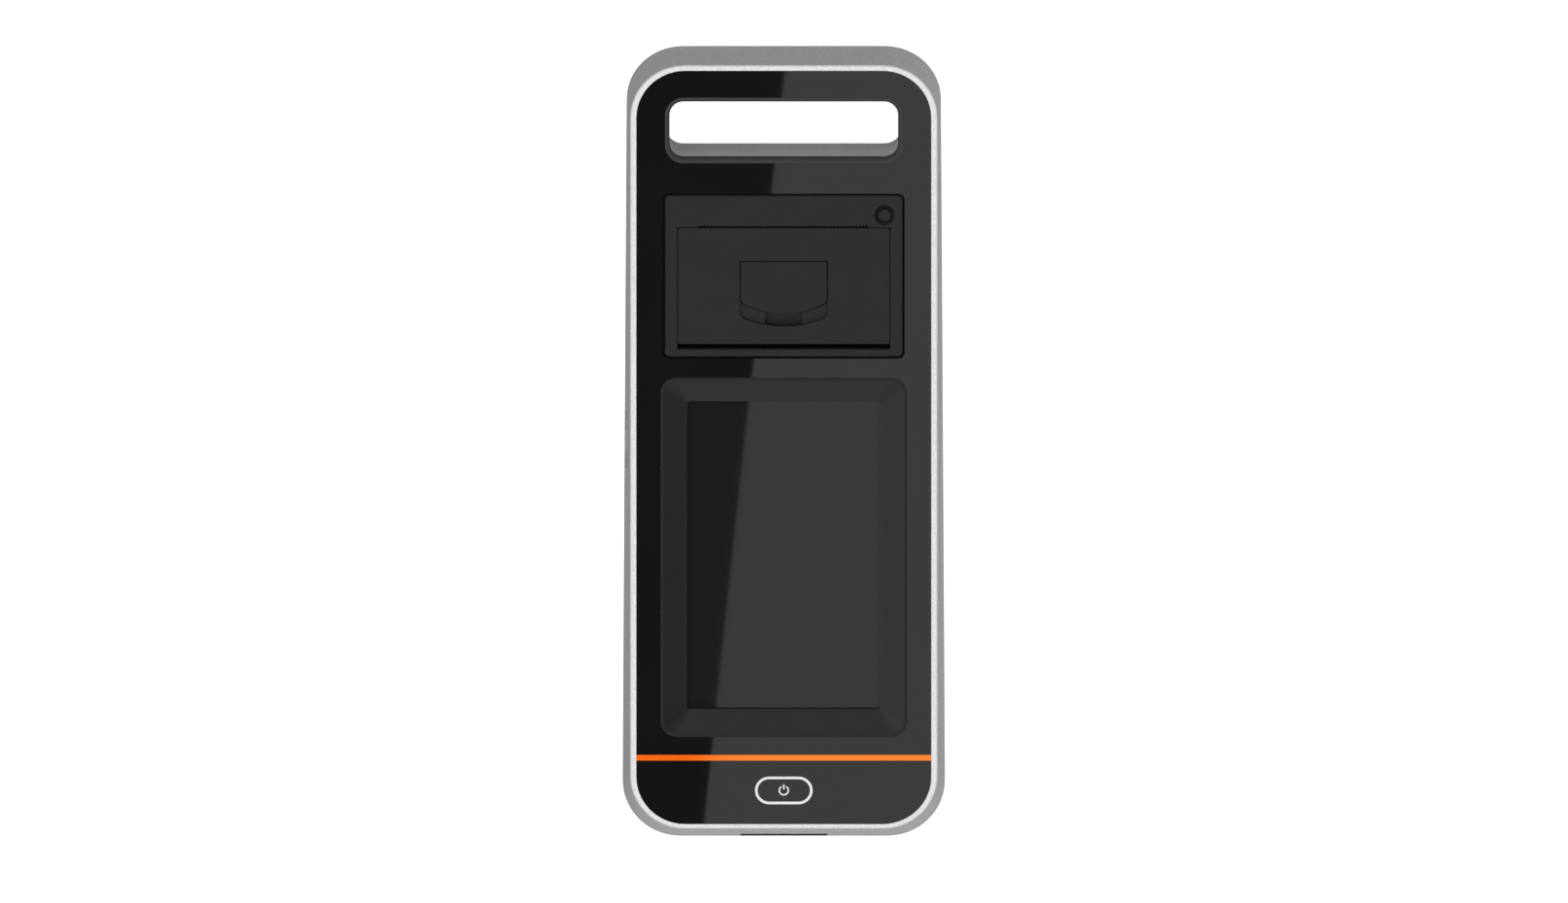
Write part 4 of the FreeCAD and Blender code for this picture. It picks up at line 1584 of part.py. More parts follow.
def battery_pack():
    """Rechargeable pack: three round cells side by side in one sleeve."""
    low = COVER_TOP
    top = low + 2.0 * BATTERY_RADIUS
    end = FOOT_X - BOSS_RADIUS - BATTERY_GAP
    cell_end = end - BATTERY_CAP
    pitch = (BATTERY_REAR - BATTERY_FRONT) / BATTERY_CELLS
    parts = []
    for index in range(BATTERY_CELLS):
        along = BATTERY_FRONT + pitch * (index + 0.5)
        parts.append(rod(BATTERY_RADIUS, V(-cell_end, along, low + BATTERY_RADIUS),
                         V(cell_end, along, low + BATTERY_RADIUS)))
    parts.append(box(-cell_end, cell_end, BATTERY_FRONT + BATTERY_RADIUS, BATTERY_REAR - BATTERY_RADIUS, low, top))
    for left in (-end, cell_end):
        parts.append(box(left, left + BATTERY_CAP, BATTERY_FRONT, BATTERY_REAR, low, top))
    return united(parts)


def antenna_board():
    """Reader antenna board behind the wireless mark on the left wall."""
    right = ANTENNA_X + ANTENNA_THICKNESS
    middle = ANTENNA_FOOT + ANTENNA_HEIGHT / 2.0
    board = box(ANTENNA_X, right, -ANTENNA_HALF_LENGTH, ANTENNA_HALF_LENGTH, ANTENNA_FOOT,
                ANTENNA_FOOT + ANTENNA_HEIGHT)
    chip = box(right, right + ANTENNA_THICKNESS, -ANTENNA_CHIP, ANTENNA_CHIP, middle - ANTENNA_CHIP,
               middle + ANTENNA_CHIP)
    return placed(united([board, chip]), SEAM)


def io_board():
    """Upright board behind the rear connectors, standing on the bottom cover."""
    half = HOUSING_HALF_WIDTH - HOUSING_WALL - IO_SIDE_SPACE
    return box(-half, half, IO_BOARD_Y - IO_THICKNESS, IO_BOARD_Y, COVER_TOP, PORT_BASE + IO_HEIGHT)


PORT_FACE = rear_wall(PORT_BASE) - PORT_SINK


def port_mouth(centre, size, rise, back, front):
    """Block as wide and high as a socket's mouth, standing a rise above the connector's foot."""
    half = size[0] / 2.0
    return box(centre - half, centre + half, back, front, PORT_BASE + rise, PORT_BASE + rise + size[1])


def dc_jack():
    """Power inlet: square body, round bore and centre pin."""
    body = port_box(JACK_X, JACK_SIZE, 0.0, IO_BOARD_Y, PORT_FACE)
    middle = PORT_BASE + JACK_SIZE[1] / 2.0 + JACK_RISE
    bore = rod(JACK_BORE, V(JACK_X, IO_BOARD_Y + PORT_FLOOR, middle), V(JACK_X, PORT_FACE + PAST, middle))
    pin = rod(JACK_PIN, V(JACK_X, IO_BOARD_Y + PORT_FLOOR / 2.0, middle), V(JACK_X, PORT_FACE - JACK_RISE, middle))
    return united([body.cut(bore), pin])


def usb_ports():
    """Stacked pair of USB receptacles: metal shell, two mouths, a tongue in each."""
    body = port_box(USB_X, USB_SIZE, 0.0, IO_BOARD_Y, PORT_FACE)
    tongues = []
    mouths = []
    for tier in (0, 1):
        rise = USB_FIRST + tier * USB_TIER
        mouths.append(port_mouth(USB_X, USB_MOUTH, rise, IO_BOARD_Y + PORT_FLOOR, PORT_FACE + PAST))
        tongues.append(port_mouth(USB_X, USB_TONGUE, rise + USB_TONGUE_RISE, IO_BOARD_Y + PORT_FLOOR / 2.0,
                                  PORT_FACE - PORT_FLOOR))
    return united([minus(body, mouths)] + tongues)


def network_port():
    """Network socket: shell with a stepped mouth and a contact row."""
    body = port_box(NET_X, NET_SIZE, 0.0, IO_BOARD_Y, PORT_FACE)
    back = IO_BOARD_Y + PORT_FLOOR
    mouth = port_mouth(NET_X, NET_MOUTH, NET_MOUTH_RISE, back, PORT_FACE + PAST)
    latch = port_mouth(NET_X, NET_LATCH, NET_LATCH_RISE, back, PORT_FACE + PAST)
    contacts = port_mouth(NET_X, NET_CONTACTS, NET_CONTACTS_RISE, back - PORT_FLOOR / 2.0,
                          PORT_FACE - NET_CONTACTS_SINK)
    return united([minus(body, [mouth, latch]), contacts])


# ================================================================ nodes
save("front_frame", front_frame())
save("overlay_panel", overlay_panel())
save("accent_strip", accent_strip())
save("handle_bezel", handle_bezel())
save("screen_bezel", screen_bezel())
save("touch_glass", touch_glass())
save("lcd_module", lcd_module())
save("power_ring", power_ring())
save("power_button", power_button())
save("standby_symbol", standby_symbol())
save("power_switch_board", power_switch_board())
save("printer_frame", printer_frame())
save("paper_well", paper_well())
save("tear_bar", tear_bar())
save("thermal_head", thermal_head())
save("mechanism_plate", mechanism_plate())
save("feed_motor", feed_motor())
save("motor_pinion", motor_pinion())
save("idler_pin", idler_pin())
save("idler_gear", feed_gear(IDLER_TEETH, IDLER_Y, IDLER_Z, IDLER_TURN, IDLER_PIN_RADIUS + RUNNING_CLEARANCE))
save("printer_door", printer_door())
save("door_hinge_pin", door_hinge_pin())
save("door_lever", door_lever())
save("latch_shaft", latch_shaft())
save("platen_roller", platen_roller())
save("platen_shaft", platen_shaft())
save("platen_gear", feed_gear(PLATEN_TEETH, PLATEN_Y, PLATEN_Z, 0.0, PLATEN_SHAFT))
save("feed_button", feed_button())
save("feed_switch", feed_switch())
save("rear_housing", rear_housing())
save("bottom_cover", bottom_cover())
save("foot_pads", foot_pads())
save("cover_screws", cover_screws())
save("frame_screws", frame_screws())
save("tray_front", tray_front())
save("test_tray", test_tray())
save("tray_rack", tray_rack())
save("tray_bed", tray_bed())
save("drive_pinion", drive_pinion())
save("motor_bracket", motor_bracket())
save("tray_motor", tray_motor())
save("optics_head", optics_head())
save("lens_barrel", lens_barrel())
save("main_board", main_board())
save("board_parts", board_parts())
save("battery_pack", battery_pack())
save("antenna_board", antenna_board())
save("io_board", io_board())
save("dc_jack", dc_jack())
save("usb_ports", usb_ports())
save("network_port", network_port())
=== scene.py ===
# %% [markdown]
# # A rapid test reader, dressed for the studio
# The solids of the unit come in as a fixed frame, already in place and in metres. This lesson gives
# every surface its finish, prints the wireless mark on the left wall, and sets a small studio round it
# all. Each step says what the real thing is and why it is made this way.

# %% Start: the solids as a fixed frame
import json
import math

import bpy
import numpy as np
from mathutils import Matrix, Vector
from mathutils.bvhtree import BVHTree


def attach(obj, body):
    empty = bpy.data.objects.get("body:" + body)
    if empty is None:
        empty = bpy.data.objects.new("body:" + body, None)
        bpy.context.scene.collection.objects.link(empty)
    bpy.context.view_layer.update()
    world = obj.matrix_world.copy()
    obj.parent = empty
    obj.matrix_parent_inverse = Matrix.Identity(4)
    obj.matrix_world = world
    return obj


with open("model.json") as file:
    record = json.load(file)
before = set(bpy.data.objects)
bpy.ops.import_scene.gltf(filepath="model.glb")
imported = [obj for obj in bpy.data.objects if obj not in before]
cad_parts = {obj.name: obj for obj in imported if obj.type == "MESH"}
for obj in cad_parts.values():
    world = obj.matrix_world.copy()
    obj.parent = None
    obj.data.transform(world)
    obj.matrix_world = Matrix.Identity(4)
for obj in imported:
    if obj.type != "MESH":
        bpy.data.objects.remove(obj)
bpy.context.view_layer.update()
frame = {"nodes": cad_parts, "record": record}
nodes = frame["nodes"]

# %% [markdown]
# ## A small kit for materials
# A finish on a real object is never one flat colour: it has a grain, a slight drift in tone and a
# slight drift in gloss. One helper adds a node to a material's graph and sets its inputs, so that each
# finish below reads as a short list of what it is made of.

# %% Kit: add a node, start a material
MM = 0.001


def node(tree, kind, **settings):
    """One shader node; a name that is not a property of the node is an input, and may take a socket."""
    made = tree.nodes.new(kind)
    for name, value in settings.items():
        if hasattr(made, name):
            setattr(made, name, value)
            continue
        numbered = name[0] == "i" and name[1:].isdigit()
        socket = made.inputs[int(name[1:]) if numbered else name.replace("_", " ")]
        if isinstance(value, bpy.types.NodeSocket):
            tree.links.new(value, socket)
        else:
            socket.default_value = value
    return made


def new_finish(name):
    """A material with one principled shader: the material, its tree, the shader and Object coordinates."""
    material = bpy.data.materials.new(name)
    material.use_nodes = True
    tree = material.node_tree
    shader = tree.nodes["Principled BSDF"]
    coordinates = node(tree, "ShaderNodeTexCoord").outputs["Object"]
    return material, tree, shader, coordinates


def grey(level):
    """Linear RGBA of a neutral tone."""
    return (level, level, level, 1.0)


print("kit ready")

# %% [markdown]
# ## Noise as grain
# Paint flakes, spark-eroded moulds and ground rubber all show as small, even bumps. Noise read from
# Object coordinates stays fixed to the metal when a part moves, and its scale is one over the size of
# the grain in metres. The same noise can drive three things: height, tone and gloss.

# %% Kit: grain, tone and gloss
def grain(tree, coordinates, size, detail=2.0):
    """Noise whose features are about size metres across."""
    return node(tree, "ShaderNodeTexNoise", Vector=coordinates, Scale=1.0 / size, Detail=detail).outputs["Fac"]


def between(tree, factor, low, high, start=0.3, end=0.7):
    """A value that runs from low to high as the factor runs from start to end."""
    spread = node(tree, "ShaderNodeMapRange", Value=factor)
    spread.inputs["From Min"].default_value = start
    spread.inputs["From Max"].default_value = end
    spread.inputs["To Min"].default_value = low
    spread.inputs["To Max"].default_value = high
    return spread.outputs["Result"]


def blend_colours(tree, factor, first, second):
    """A colour that runs from first to second with the factor."""
    ramp = node(tree, "ShaderNodeValToRGB", Fac=factor)
    ramp.color_ramp.elements[0].position = 0.3
    ramp.color_ramp.elements[0].color = first
    ramp.color_ramp.elements[1].position = 0.7
    ramp.color_ramp.elements[1].color = second
    return ramp.outputs["Color"]


def bumps(tree, height, depth, normal=None):
    """Surface relief of a depth in metres."""
    bump = node(tree, "ShaderNodeBump", Height=height, Distance=depth, Strength=1.0)
    if normal is not None:
        tree.links.new(normal, bump.inputs["Normal"])
    return bump.outputs["Normal"]


FINE_SHARE = 0.6
BROAD_GRAINS = 40.0
GLOSS_SWING = 0.04


def moulded(name, tone, roughness, grain_size, grain_depth, spread=0.15, specular=0.5, colour=None):
    """A moulded or painted surface: tone drifts by a share, with fine bumps and an uneven gloss."""
    material, tree, shader, coordinates = new_finish(name)
    base = colour or (tone, tone, tone)
    fine = grain(tree, coordinates, grain_size)
    broad = grain(tree, coordinates, BROAD_GRAINS * grain_size, 3.0)
    dark = tuple(c * (1.0 - spread) for c in base) + (1.0,)
    light = tuple(min(1.0, c * (1.0 + spread)) for c in base) + (1.0,)
    from_broad = node(tree, "ShaderNodeMath", operation="MULTIPLY", i0=broad, i1=1.0 - FINE_SHARE).outputs[0]
    drift = node(tree, "ShaderNodeMath", operation="MULTIPLY_ADD", i0=fine, i1=FINE_SHARE,
                 i2=from_broad).outputs[0]
    tree.links.new(blend_colours(tree, drift, dark, light), shader.inputs["Base Color"])
    sheen = between(tree, broad, roughness - GLOSS_SWING, roughness + GLOSS_SWING)
    tree.links.new(sheen, shader.inputs["Roughness"])
    tree.links.new(bumps(tree, fine, grain_depth), shader.inputs["Normal"])
    shader.inputs["Specular IOR Level"].default_value = specular
    return material, tree, shader, coordinates


print("grain kit ready")

# %% [markdown]
# ## Silver paint on the front frame
# The frame is a casting sprayed with a metallic silver. Seen close it is full of tiny flakes that each
# face a slightly different way, so the light breaks up into a fine sparkle. A texture picture could
# fake that, but flakes as Voronoi cells of a fifth of a millimetre, each with its own tilt and tone,
# hold up at any distance.

# %% Finish: silver paint
FLAKE = 0.22 * MM


def silver_paint():
    """Metallic paint: cells of flake size vary tone and tilt, a soft orange peel lies over them."""
    material, tree, shader, coordinates = new_finish("silver_frame")
    flakes = node(tree, "ShaderNodeTexVoronoi", Vector=coordinates, Scale=1.0 / FLAKE)
    tint = node(tree, "ShaderNodeSeparateColor", Color=flakes.outputs["Color"]).outputs["Red"]
    tree.links.new(blend_colours(tree, tint, grey(0.66), grey(0.84)), shader.inputs["Base Color"])
    peel = grain(tree, coordinates, 1.6 * MM)
    soft = bumps(tree, peel, 0.012 * MM)
    tree.links.new(bumps(tree, tint, 0.008 * MM, soft), shader.inputs["Normal"])
    tree.links.new(between(tree, peel, 0.46, 0.54), shader.inputs["Roughness"])
    shader.inputs["Metallic"].default_value = 0.45
    shader.inputs["Specular IOR Level"].default_value = 0.2
    return material


finishes = {"silver_frame": silver_paint()}
print("silver flake size in mm:", FLAKE / MM)

# %% [markdown]
# ## Gloss overlay and button
# The operator panel is a black sheet with a polished face. Nothing shows on it but reflections, so it
# has a very low roughness that drifts a little, as on pressed sheet. Its cut edges aren't polished, and a
# matt edge keeps the groove round the printer black. One finish can serve both: a dot product of the
# Object coordinates with the face's normal tells how deep a point lies under the face. The power button
# is of the same plastic, polished all over.

# %% Finish: gloss black
PANEL_TILT = math.radians(14.7)
PANEL_HEIGHT = 91.9 * MM
CUT_TOP = 0.24 * MM
CUT_MATT = 0.26 * MM
CUT_ROUGHNESS = 0.60
FULL_MIRROR = 0.5


def gloss_black(name):
    """Polished black plastic with a slow drift in tone."""
    material, tree, shader, coordinates = new_finish(name)
    drift = grain(tree, coordinates, 60.0 * MM, 2.0)
    tree.links.new(blend_colours(tree, drift, grey(0.0073), grey(0.0083)), shader.inputs["Base Color"])
    tree.links.new(between(tree, drift, 0.018, 0.028), shader.inputs["Roughness"])
    shader.inputs["IOR"].default_value = 1.43
    return material, tree, shader, coordinates


def gloss_sheet(name):
    """Gloss black on the sheet's face and matt on its cut edges.

    A point's rise is its Object coordinates times the face's normal (0, -sin tilt, cos tilt). The gloss ends
    between CUT_TOP and CUT_MATT under the face, whose own rise is its height times cos tilt.
    """
    material, tree, shader, coordinates = gloss_black(name)
    rise = node(tree, "ShaderNodeVectorMath", operation="DOT_PRODUCT", i0=coordinates,
                i1=(0.0, -math.sin(PANEL_TILT), math.cos(PANEL_TILT))).outputs["Value"]
    face = PANEL_HEIGHT * math.cos(PANEL_TILT)
    polished = between(tree, rise, 0.0, 1.0, face - CUT_MATT, face - CUT_TOP)
    sheen = shader.inputs["Roughness"].links[0].from_socket
    blend = node(tree, "ShaderNodeMix", data_type="FLOAT", Factor=polished, A=CUT_ROUGHNESS, B=sheen)
    tree.links.new(blend.outputs["Result"], shader.inputs["Roughness"])
    mirror = node(tree, "ShaderNodeMath", operation="MULTIPLY", i0=polished, i1=FULL_MIRROR)
    tree.links.new(mirror.outputs[0], shader.inputs["Specular IOR Level"])
    return material


finishes["gloss_overlay"] = gloss_sheet("gloss_overlay")
finishes["gloss_button"] = gloss_black("gloss_button")[0]
print("gloss finishes ready")

# %% [markdown]
# ## Moulded blacks and greys
# The printer, the screen's bezel, the handle's lining, the housing and the drawer are all moulded in
# tools with a spark-eroded face. They differ in tone, in gloss and in how coarse the grain is, so one
# recipe with five settings serves them all. The tear bar is steel with a matt black coating, and the
# packages on the boards are moulded too, so both use it as well.

# %% Finish: moulded plastics
MOULDED = {
    # slot: (tone, roughness, grain size, grain depth, specular level)
    "printer_black": (0.0190, 0.62, 0.28 * MM, 0.016 * MM, 0.15),
    "tear_steel": (0.0190, 0.60, 0.28 * MM, 0.010 * MM, 0.15),
    "well_black": (0.0120, 0.60, 0.40 * MM, 0.016 * MM, 0.20),
    "bezel_matt": (0.0040, 0.36, 0.22 * MM, 0.006 * MM, 0.30),
    "handle_trim": (0.0300, 0.52, 0.30 * MM, 0.010 * MM, 0.30),
    "housing_dark": (0.0260, 0.55, 0.45 * MM, 0.030 * MM, 0.40),
    "tray_dark": (0.0160, 0.50, 0.30 * MM, 0.014 * MM, 0.40),
    "jack_black": (0.0120, 0.45, 0.30 * MM, 0.010 * MM, 0.40),
    "board_parts": (0.0180, 0.42, 0.50 * MM, 0.010 * MM, 0.50),
}
for slot_name, (tone, roughness, size, depth, specular) in MOULDED.items():
    finishes[slot_name] = moulded(slot_name, tone, roughness, size, depth, specular=specular)[0]
print("moulded finishes:", sorted(MOULDED))

# %% [markdown]
# ## Coloured and pale plastics
# The stripe is a satin orange inlay, the symbol on the power button a white one, the gears are natural
# acetal and the battery pack wears a blue shrink sleeve. Each keeps a fine grain and a small drift in
# tone, because even a clean moulding is never perfectly even.

# %% Finish: coloured plastics
orange, tree, shader, coordinates = moulded(
    "orange_strip", 0.5, 0.08, 0.30 * MM, 0.0005 * MM, spread=0.02, colour=(1.0, 0.140, 0.006))
shader.inputs["IOR"].default_value = 1.9
shader.inputs["Specular Tint"].default_value = (1.0, 0.95, 0.25, 1.0)
finishes["orange_strip"] = orange
finishes["white_mark"] = moulded("white_mark", 0.80, 0.45, 0.30 * MM, 0.002 * MM, spread=0.03)[0]
finishes["gear_plastic"] = moulded(
    "gear_plastic", 0.7, 0.38, 0.35 * MM, 0.004 * MM, spread=0.04, colour=(0.74, 0.72, 0.64))[0]
finishes["battery_wrap"] = moulded(
    "battery_wrap", 0.2, 0.28, 1.40 * MM, 0.030 * MM, spread=0.10, colour=(0.02, 0.07, 0.28))[0]
print("coloured finishes ready")

# %% [markdown]
# ## Touch glass
# The display is off, so the window is a dark, very smooth sheet with a faint, broad drift in tone. It
# is a little lighter than the overlay because the layers behind the glass scatter some light.

# %% Finish: touch glass
def touch_glass():
    """Dark glass over a display that is off."""
    material, tree, shader, coordinates = new_finish("screen_glass")
    drift = grain(tree, coordinates, 50.0 * MM, 2.0)
    tree.links.new(blend_colours(tree, drift, grey(0.0115), grey(0.0130)), shader.inputs["Base Color"])
    tree.links.new(between(tree, drift, 0.020, 0.030), shader.inputs["Roughness"])
    shader.inputs["IOR"].default_value = 1.38
    return material


finishes["screen_glass"] = touch_glass()
print("glass ready")

# %% [markdown]
# ## White light ring
# The ring round the power button is a milky light guide. It is lit, but very softly, so it gets a
# trace of emission on top of a white satin base.

# %% Finish: light ring
RING_GLOW = 0.05

ring, tree, shader, coordinates = moulded("light_ring", 0.74, 0.32, 0.25 * MM, 0.002 * MM, spread=0.03)
shader.inputs["Emission Color"].default_value = grey(1.0)
shader.inputs["Emission Strength"].default_value = RING_GLOW
finishes["light_ring"] = ring
print("light ring ready")

# %% [markdown]
# ## Metals
# Pins and shafts are ground, plates are rolled, cans are drawn, and the printer's hinge pin and latch
# shaft are blackened. Each shows fine lines in one direction. Noise stretched along one axis gives such
# lines: the Mapping node squeezes the coordinates along the grain before the noise reads them.

# %% Finish: metals
def worked_metal(name, tone, roughness, stretch, line=0.25 * MM, depth=0.004 * MM):
    """Metal with lines along the axis where stretch is small; tone and gloss follow the lines."""
    material, tree, shader, coordinates = new_finish(name)
    along = node(tree, "ShaderNodeMapping", Vector=coordinates, Scale=stretch).outputs["Vector"]
    lines = grain(tree, along, line, 4.0)
    tree.links.new(blend_colours(tree, lines, grey(tone * 0.85), grey(min(1.0, tone * 1.1))),
                   shader.inputs["Base Color"])
    tree.links.new(between(tree, lines, roughness - 0.06, roughness + 0.08), shader.inputs["Roughness"])
    tree.links.new(bumps(tree, lines, depth), shader.inputs["Normal"])
    shader.inputs["Metallic"].default_value = 1.0
    return material


METALS = {
    # slot: (tone, roughness, stretch of the noise along x, y, z)
    "bright_steel": (0.62, 0.24, (1.0, 0.05, 0.05)),
    "steel_plate": (0.52, 0.34, (1.0, 0.04, 1.0)),
    "motor_can": (0.50, 0.30, (0.05, 1.0, 1.0)),
    "display": (0.42, 0.36, (0.05, 1.0, 1.0)),
    "print_head": (0.045, 0.42, (0.05, 1.0, 1.0)),
    "black_steel": (0.010, 0.40, (0.06, 1.0, 1.0)),
    "screw_steel": (0.16, 0.34, (1.0, 1.0, 0.2)),
    "port_metal": (0.58, 0.30, (1.0, 0.05, 1.0)),
    "optic_barrel": (0.05, 0.34, (1.0, 1.0, 8.0)),
}
for slot_name, (tone, roughness, stretch) in METALS.items():
    finishes[slot_name] = worked_metal(slot_name, tone, roughness, stretch)
print("metals:", sorted(METALS))

# %% [markdown]
# ## Rubber
# The feet and the platen roller are black rubber: very rough, with a dusty lighter bloom in patches
# and a ground surface.

# %% Finish: rubber
for slot_name, tone, size in (("foot_rubber", 0.012, 0.5 * MM), ("platen_rubber", 0.018, 0.3 * MM)):
    finishes[slot_name] = moulded(slot_name, tone, 0.82, size, 0.03 * MM, spread=0.25, specular=0.3)[0]
print("rubber ready")

# %% [markdown]
# ## Circuit boards
# Solder resist is a green lacquer over copper tracks. Bands of a stretched wave show as slightly
# lighter lines where tracks run under it, and small round cells stand for plated holes.

# %% Finish: circuit boards
TRACK_WAVES = 120.0
HOLE_CELLS = 260.0


def circuit_board():
    """Green lacquer; wavy lines for tracks, a scatter of bright dots for plated holes.

    A wave of scale s repeats every 2 pi / (20 s) metres, which is 2.6 mm here, and a cell pattern of scale s
    has cells of 1 / s metres, 3.8 mm here.
    """
    material, tree, shader, coordinates = new_finish("circuit_board")
    tracks = node(tree, "ShaderNodeTexWave", Vector=coordinates, Scale=TRACK_WAVES, Distortion=6.0,
                  Detail=1.0).outputs["Fac"]
    tracks.node.inputs["Detail Scale"].default_value = 2.0
    lacquer = blend_colours(tree, tracks, (0.006, 0.070, 0.028, 1.0), (0.012, 0.120, 0.050, 1.0))
    holes = node(tree, "ShaderNodeTexVoronoi", Vector=coordinates, Scale=HOLE_CELLS).outputs["Distance"]
    dots = between(tree, holes, 1.0, 0.0, 0.10, 0.14)
    mixed = node(tree, "ShaderNodeMix", data_type="RGBA")
    tree.links.new(dots, mixed.inputs["Factor"])
    tree.links.new(lacquer, mixed.inputs["A"])
    mixed.inputs["B"].default_value = (0.62, 0.50, 0.28, 1.0)
    tree.links.new(mixed.outputs["Result"], shader.inputs["Base Color"])
    tree.links.new(between(tree, tracks, 0.25, 0.35), shader.inputs["Roughness"])
    tree.links.new(bumps(tree, tracks, 0.02 * MM), shader.inputs["Normal"])
    return material


finishes["circuit_board"] = circuit_board()
print("boards ready")

# %% [markdown]
# ## Dressing the solids
# Every solid keeps its shape and place and only changes what is in its material slots. The record says
# which slot each one takes, so a single loop dresses the whole unit.

# %% Dress every solid
slot_of = {entry["node"]: entry["material_slot"] for entry in frame["record"]["subparts"]}
for name, solid in nodes.items():
    finish = finishes[slot_of[name]]
    if not solid.material_slots:
        solid.data.materials.append(finish)
    for material_slot in solid.material_slots:
        material_slot.material = finish
print("dressed:", len(nodes), "solids with", len(finishes), "finishes")

# %% [markdown]
# ## The wireless mark on the left wall
# A reader for wireless cards sits behind the left wall, and a printed mark of arcs shows where: three
# open towards the handle end and three towards the low end. Each is a thin band of ink. A band is a
# profile carried along an arc: four corners of a flat strip, placed at every step round the arc and
# closed at both ends. The wall leans two ways, so its plane is found first with three rays, and the
# band's distance from it is laid off along its normal.

# %% Find the plane of the left wall
MARK_HEIGHT = 68.5 * MM
MARK_UPPER_Y = 1.35 * MM
MARK_LOWER_Y = -0.40 * MM


def surface_tree(solid):
    """Search tree of a solid's faces, for rays."""
    corners = [vertex.co for vertex in solid.data.vertices]
    return BVHTree.FromPolygons(corners, [tuple(polygon.vertices) for polygon in solid.data.polygons])


def wall_spot(tree, y, z, side):
    """Point of the outer wall at (y, z), met by a ray from far out on that side."""
    return np.array(tree.ray_cast(Vector((side, y, z)), Vector((-side, 0.0, 0.0)))[0])


WALL_SPOTS = ((-6.0 * MM, 66.0 * MM), (6.0 * MM, 66.0 * MM), (0.0, 74.0 * MM))
frame_tree = surface_tree(nodes["front_frame"])
spots = [wall_spot(frame_tree, y, z, -1.0) for y, z in WALL_SPOTS]
wall_normal = np.cross(spots[1] - spots[0], spots[2] - spots[0])
wall_normal *= -np.sign(wall_normal[0]) / np.linalg.norm(wall_normal)
print("wall normal:", np.round(wall_normal, 4))

# %% Print the arcs
INK = 0.03 * MM
INK_SUNK = 0.02 * MM
STROKE = 0.45 * MM
ARC_RADII = (4.3 * MM, 6.6 * MM, 8.7 * MM)
ARC_HALF_ANGLE = math.radians(47.0)
ARC_STEPS = 49


def mesh_piece(name, points, faces, finish, smooth=False):
    """A new object at the origin from an array of points and one of faces."""
    mesh = bpy.data.meshes.new(name)
    mesh.from_pydata(points.tolist(), [], [list(face) for face in faces])
    mesh.materials.append(finish)
    mesh.polygons.foreach_set("use_smooth", [smooth] * len(mesh.polygons))
    mesh.update()
    piece = bpy.data.objects.new(name, mesh)
    bpy.context.scene.collection.objects.link(piece)
    return piece


def carried_profile(rings):
    """Quads between successive rings of a closed profile, with a cap on each end.

    rings has the shape (steps, corners, 3). Quad (s, c) joins corner c and c + 1 of ring s to ring s + 1.
    """
    steps, corners = rings.shape[:2]
    step, corner = np.meshgrid(np.arange(steps - 1), np.arange(corners), indexing="ij")
    following = (corner + 1) % corners
    quads = np.stack([step * corners + corner, step * corners + following,
                      (step + 1) * corners + following, (step + 1) * corners + corner], axis=-1).reshape(-1, 4)
    caps = [list(range(corners))[::-1], list(range((steps - 1) * corners, steps * corners))]
    return rings.reshape(-1, 3), [list(quad) for quad in quads] + caps


def arc_band(centre_y, centre_z, radius, middle):
    """Ink along an arc on the wall.

    Step t of the arc lies at angle middle + t about the centre in the (y, z) plane, corner c of the strip
    at radius + half a stroke in or out, sunk a little into the paint or standing proud of it; x follows
    from the plane: x = x0 - ((y - y0) ny + (z - z0) nz) / nx.
    """
    turn = middle + np.linspace(-ARC_HALF_ANGLE, ARC_HALF_ANGLE, ARC_STEPS)[:, None]
    reach = radius + 0.5 * STROKE * np.array([-1.0, 1.0, 1.0, -1.0])[None, :]
    lift = np.array([-INK_SUNK, -INK_SUNK, INK, INK])[None, :]
    y = centre_y + reach * np.cos(turn)
    z = centre_z + reach * np.sin(turn)
    start = spots[0]
    x = start[0] - ((y - start[1]) * wall_normal[1] + (z - start[2]) * wall_normal[2]) / wall_normal[0]
    return np.stack([x, y, z], axis=-1) + lift[..., None] * wall_normal


ink = moulded("mark_ink", 0.150, 0.50, 0.30 * MM, 0.002 * MM, spread=0.06)[0]
for half, centre_y, middle in (("upper", MARK_UPPER_Y, 0.0), ("lower", MARK_LOWER_Y, math.pi)):
    for index, radius in enumerate(ARC_RADII):
        points, faces = carried_profile(arc_band(centre_y, MARK_HEIGHT, radius, middle))
        arc = mesh_piece(f"wireless_arc_{half}_{index + 1}", points, faces, ink)
        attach(arc, "case")
print("arcs:", 2 * len(ARC_RADII), "stroke in mm:", STROKE / MM)

# %% [markdown]
# ## Floor and studio
# The unit stands on a plain pale floor inside a large white box, so that it is seen against white from
# every side. Both glow a little instead of being lit by lamps, and neither sends light on to the unit:
# that comes from the room light alone, which is set in the next step, so the background and the light on
# the unit can be tuned apart.

# %% Floor
FLOOR_HALF = 4.0
FLOOR_GLOW = 0.80
BACKDROP_GLOW = 1.0
ROOM_HALF = 3 * FLOOR_HALF


def pale_floor():
    """Matt floor with a very fine tooth; a glow stands in for the light of a larger room."""
    material, tree, shader, coordinates = new_finish("floor_paper")
    tooth = grain(tree, coordinates, 1.5 * MM)
    tree.links.new(blend_colours(tree, tooth, grey(0.90), grey(0.93)), shader.inputs["Base Color"])
    shader.inputs["Roughness"].default_value = 0.9
    shader.inputs["Specular IOR Level"].default_value = 0.1
    shader.inputs["Emission Color"].default_value = grey(1.0)
    shader.inputs["Emission Strength"].default_value = FLOOR_GLOW
    return material


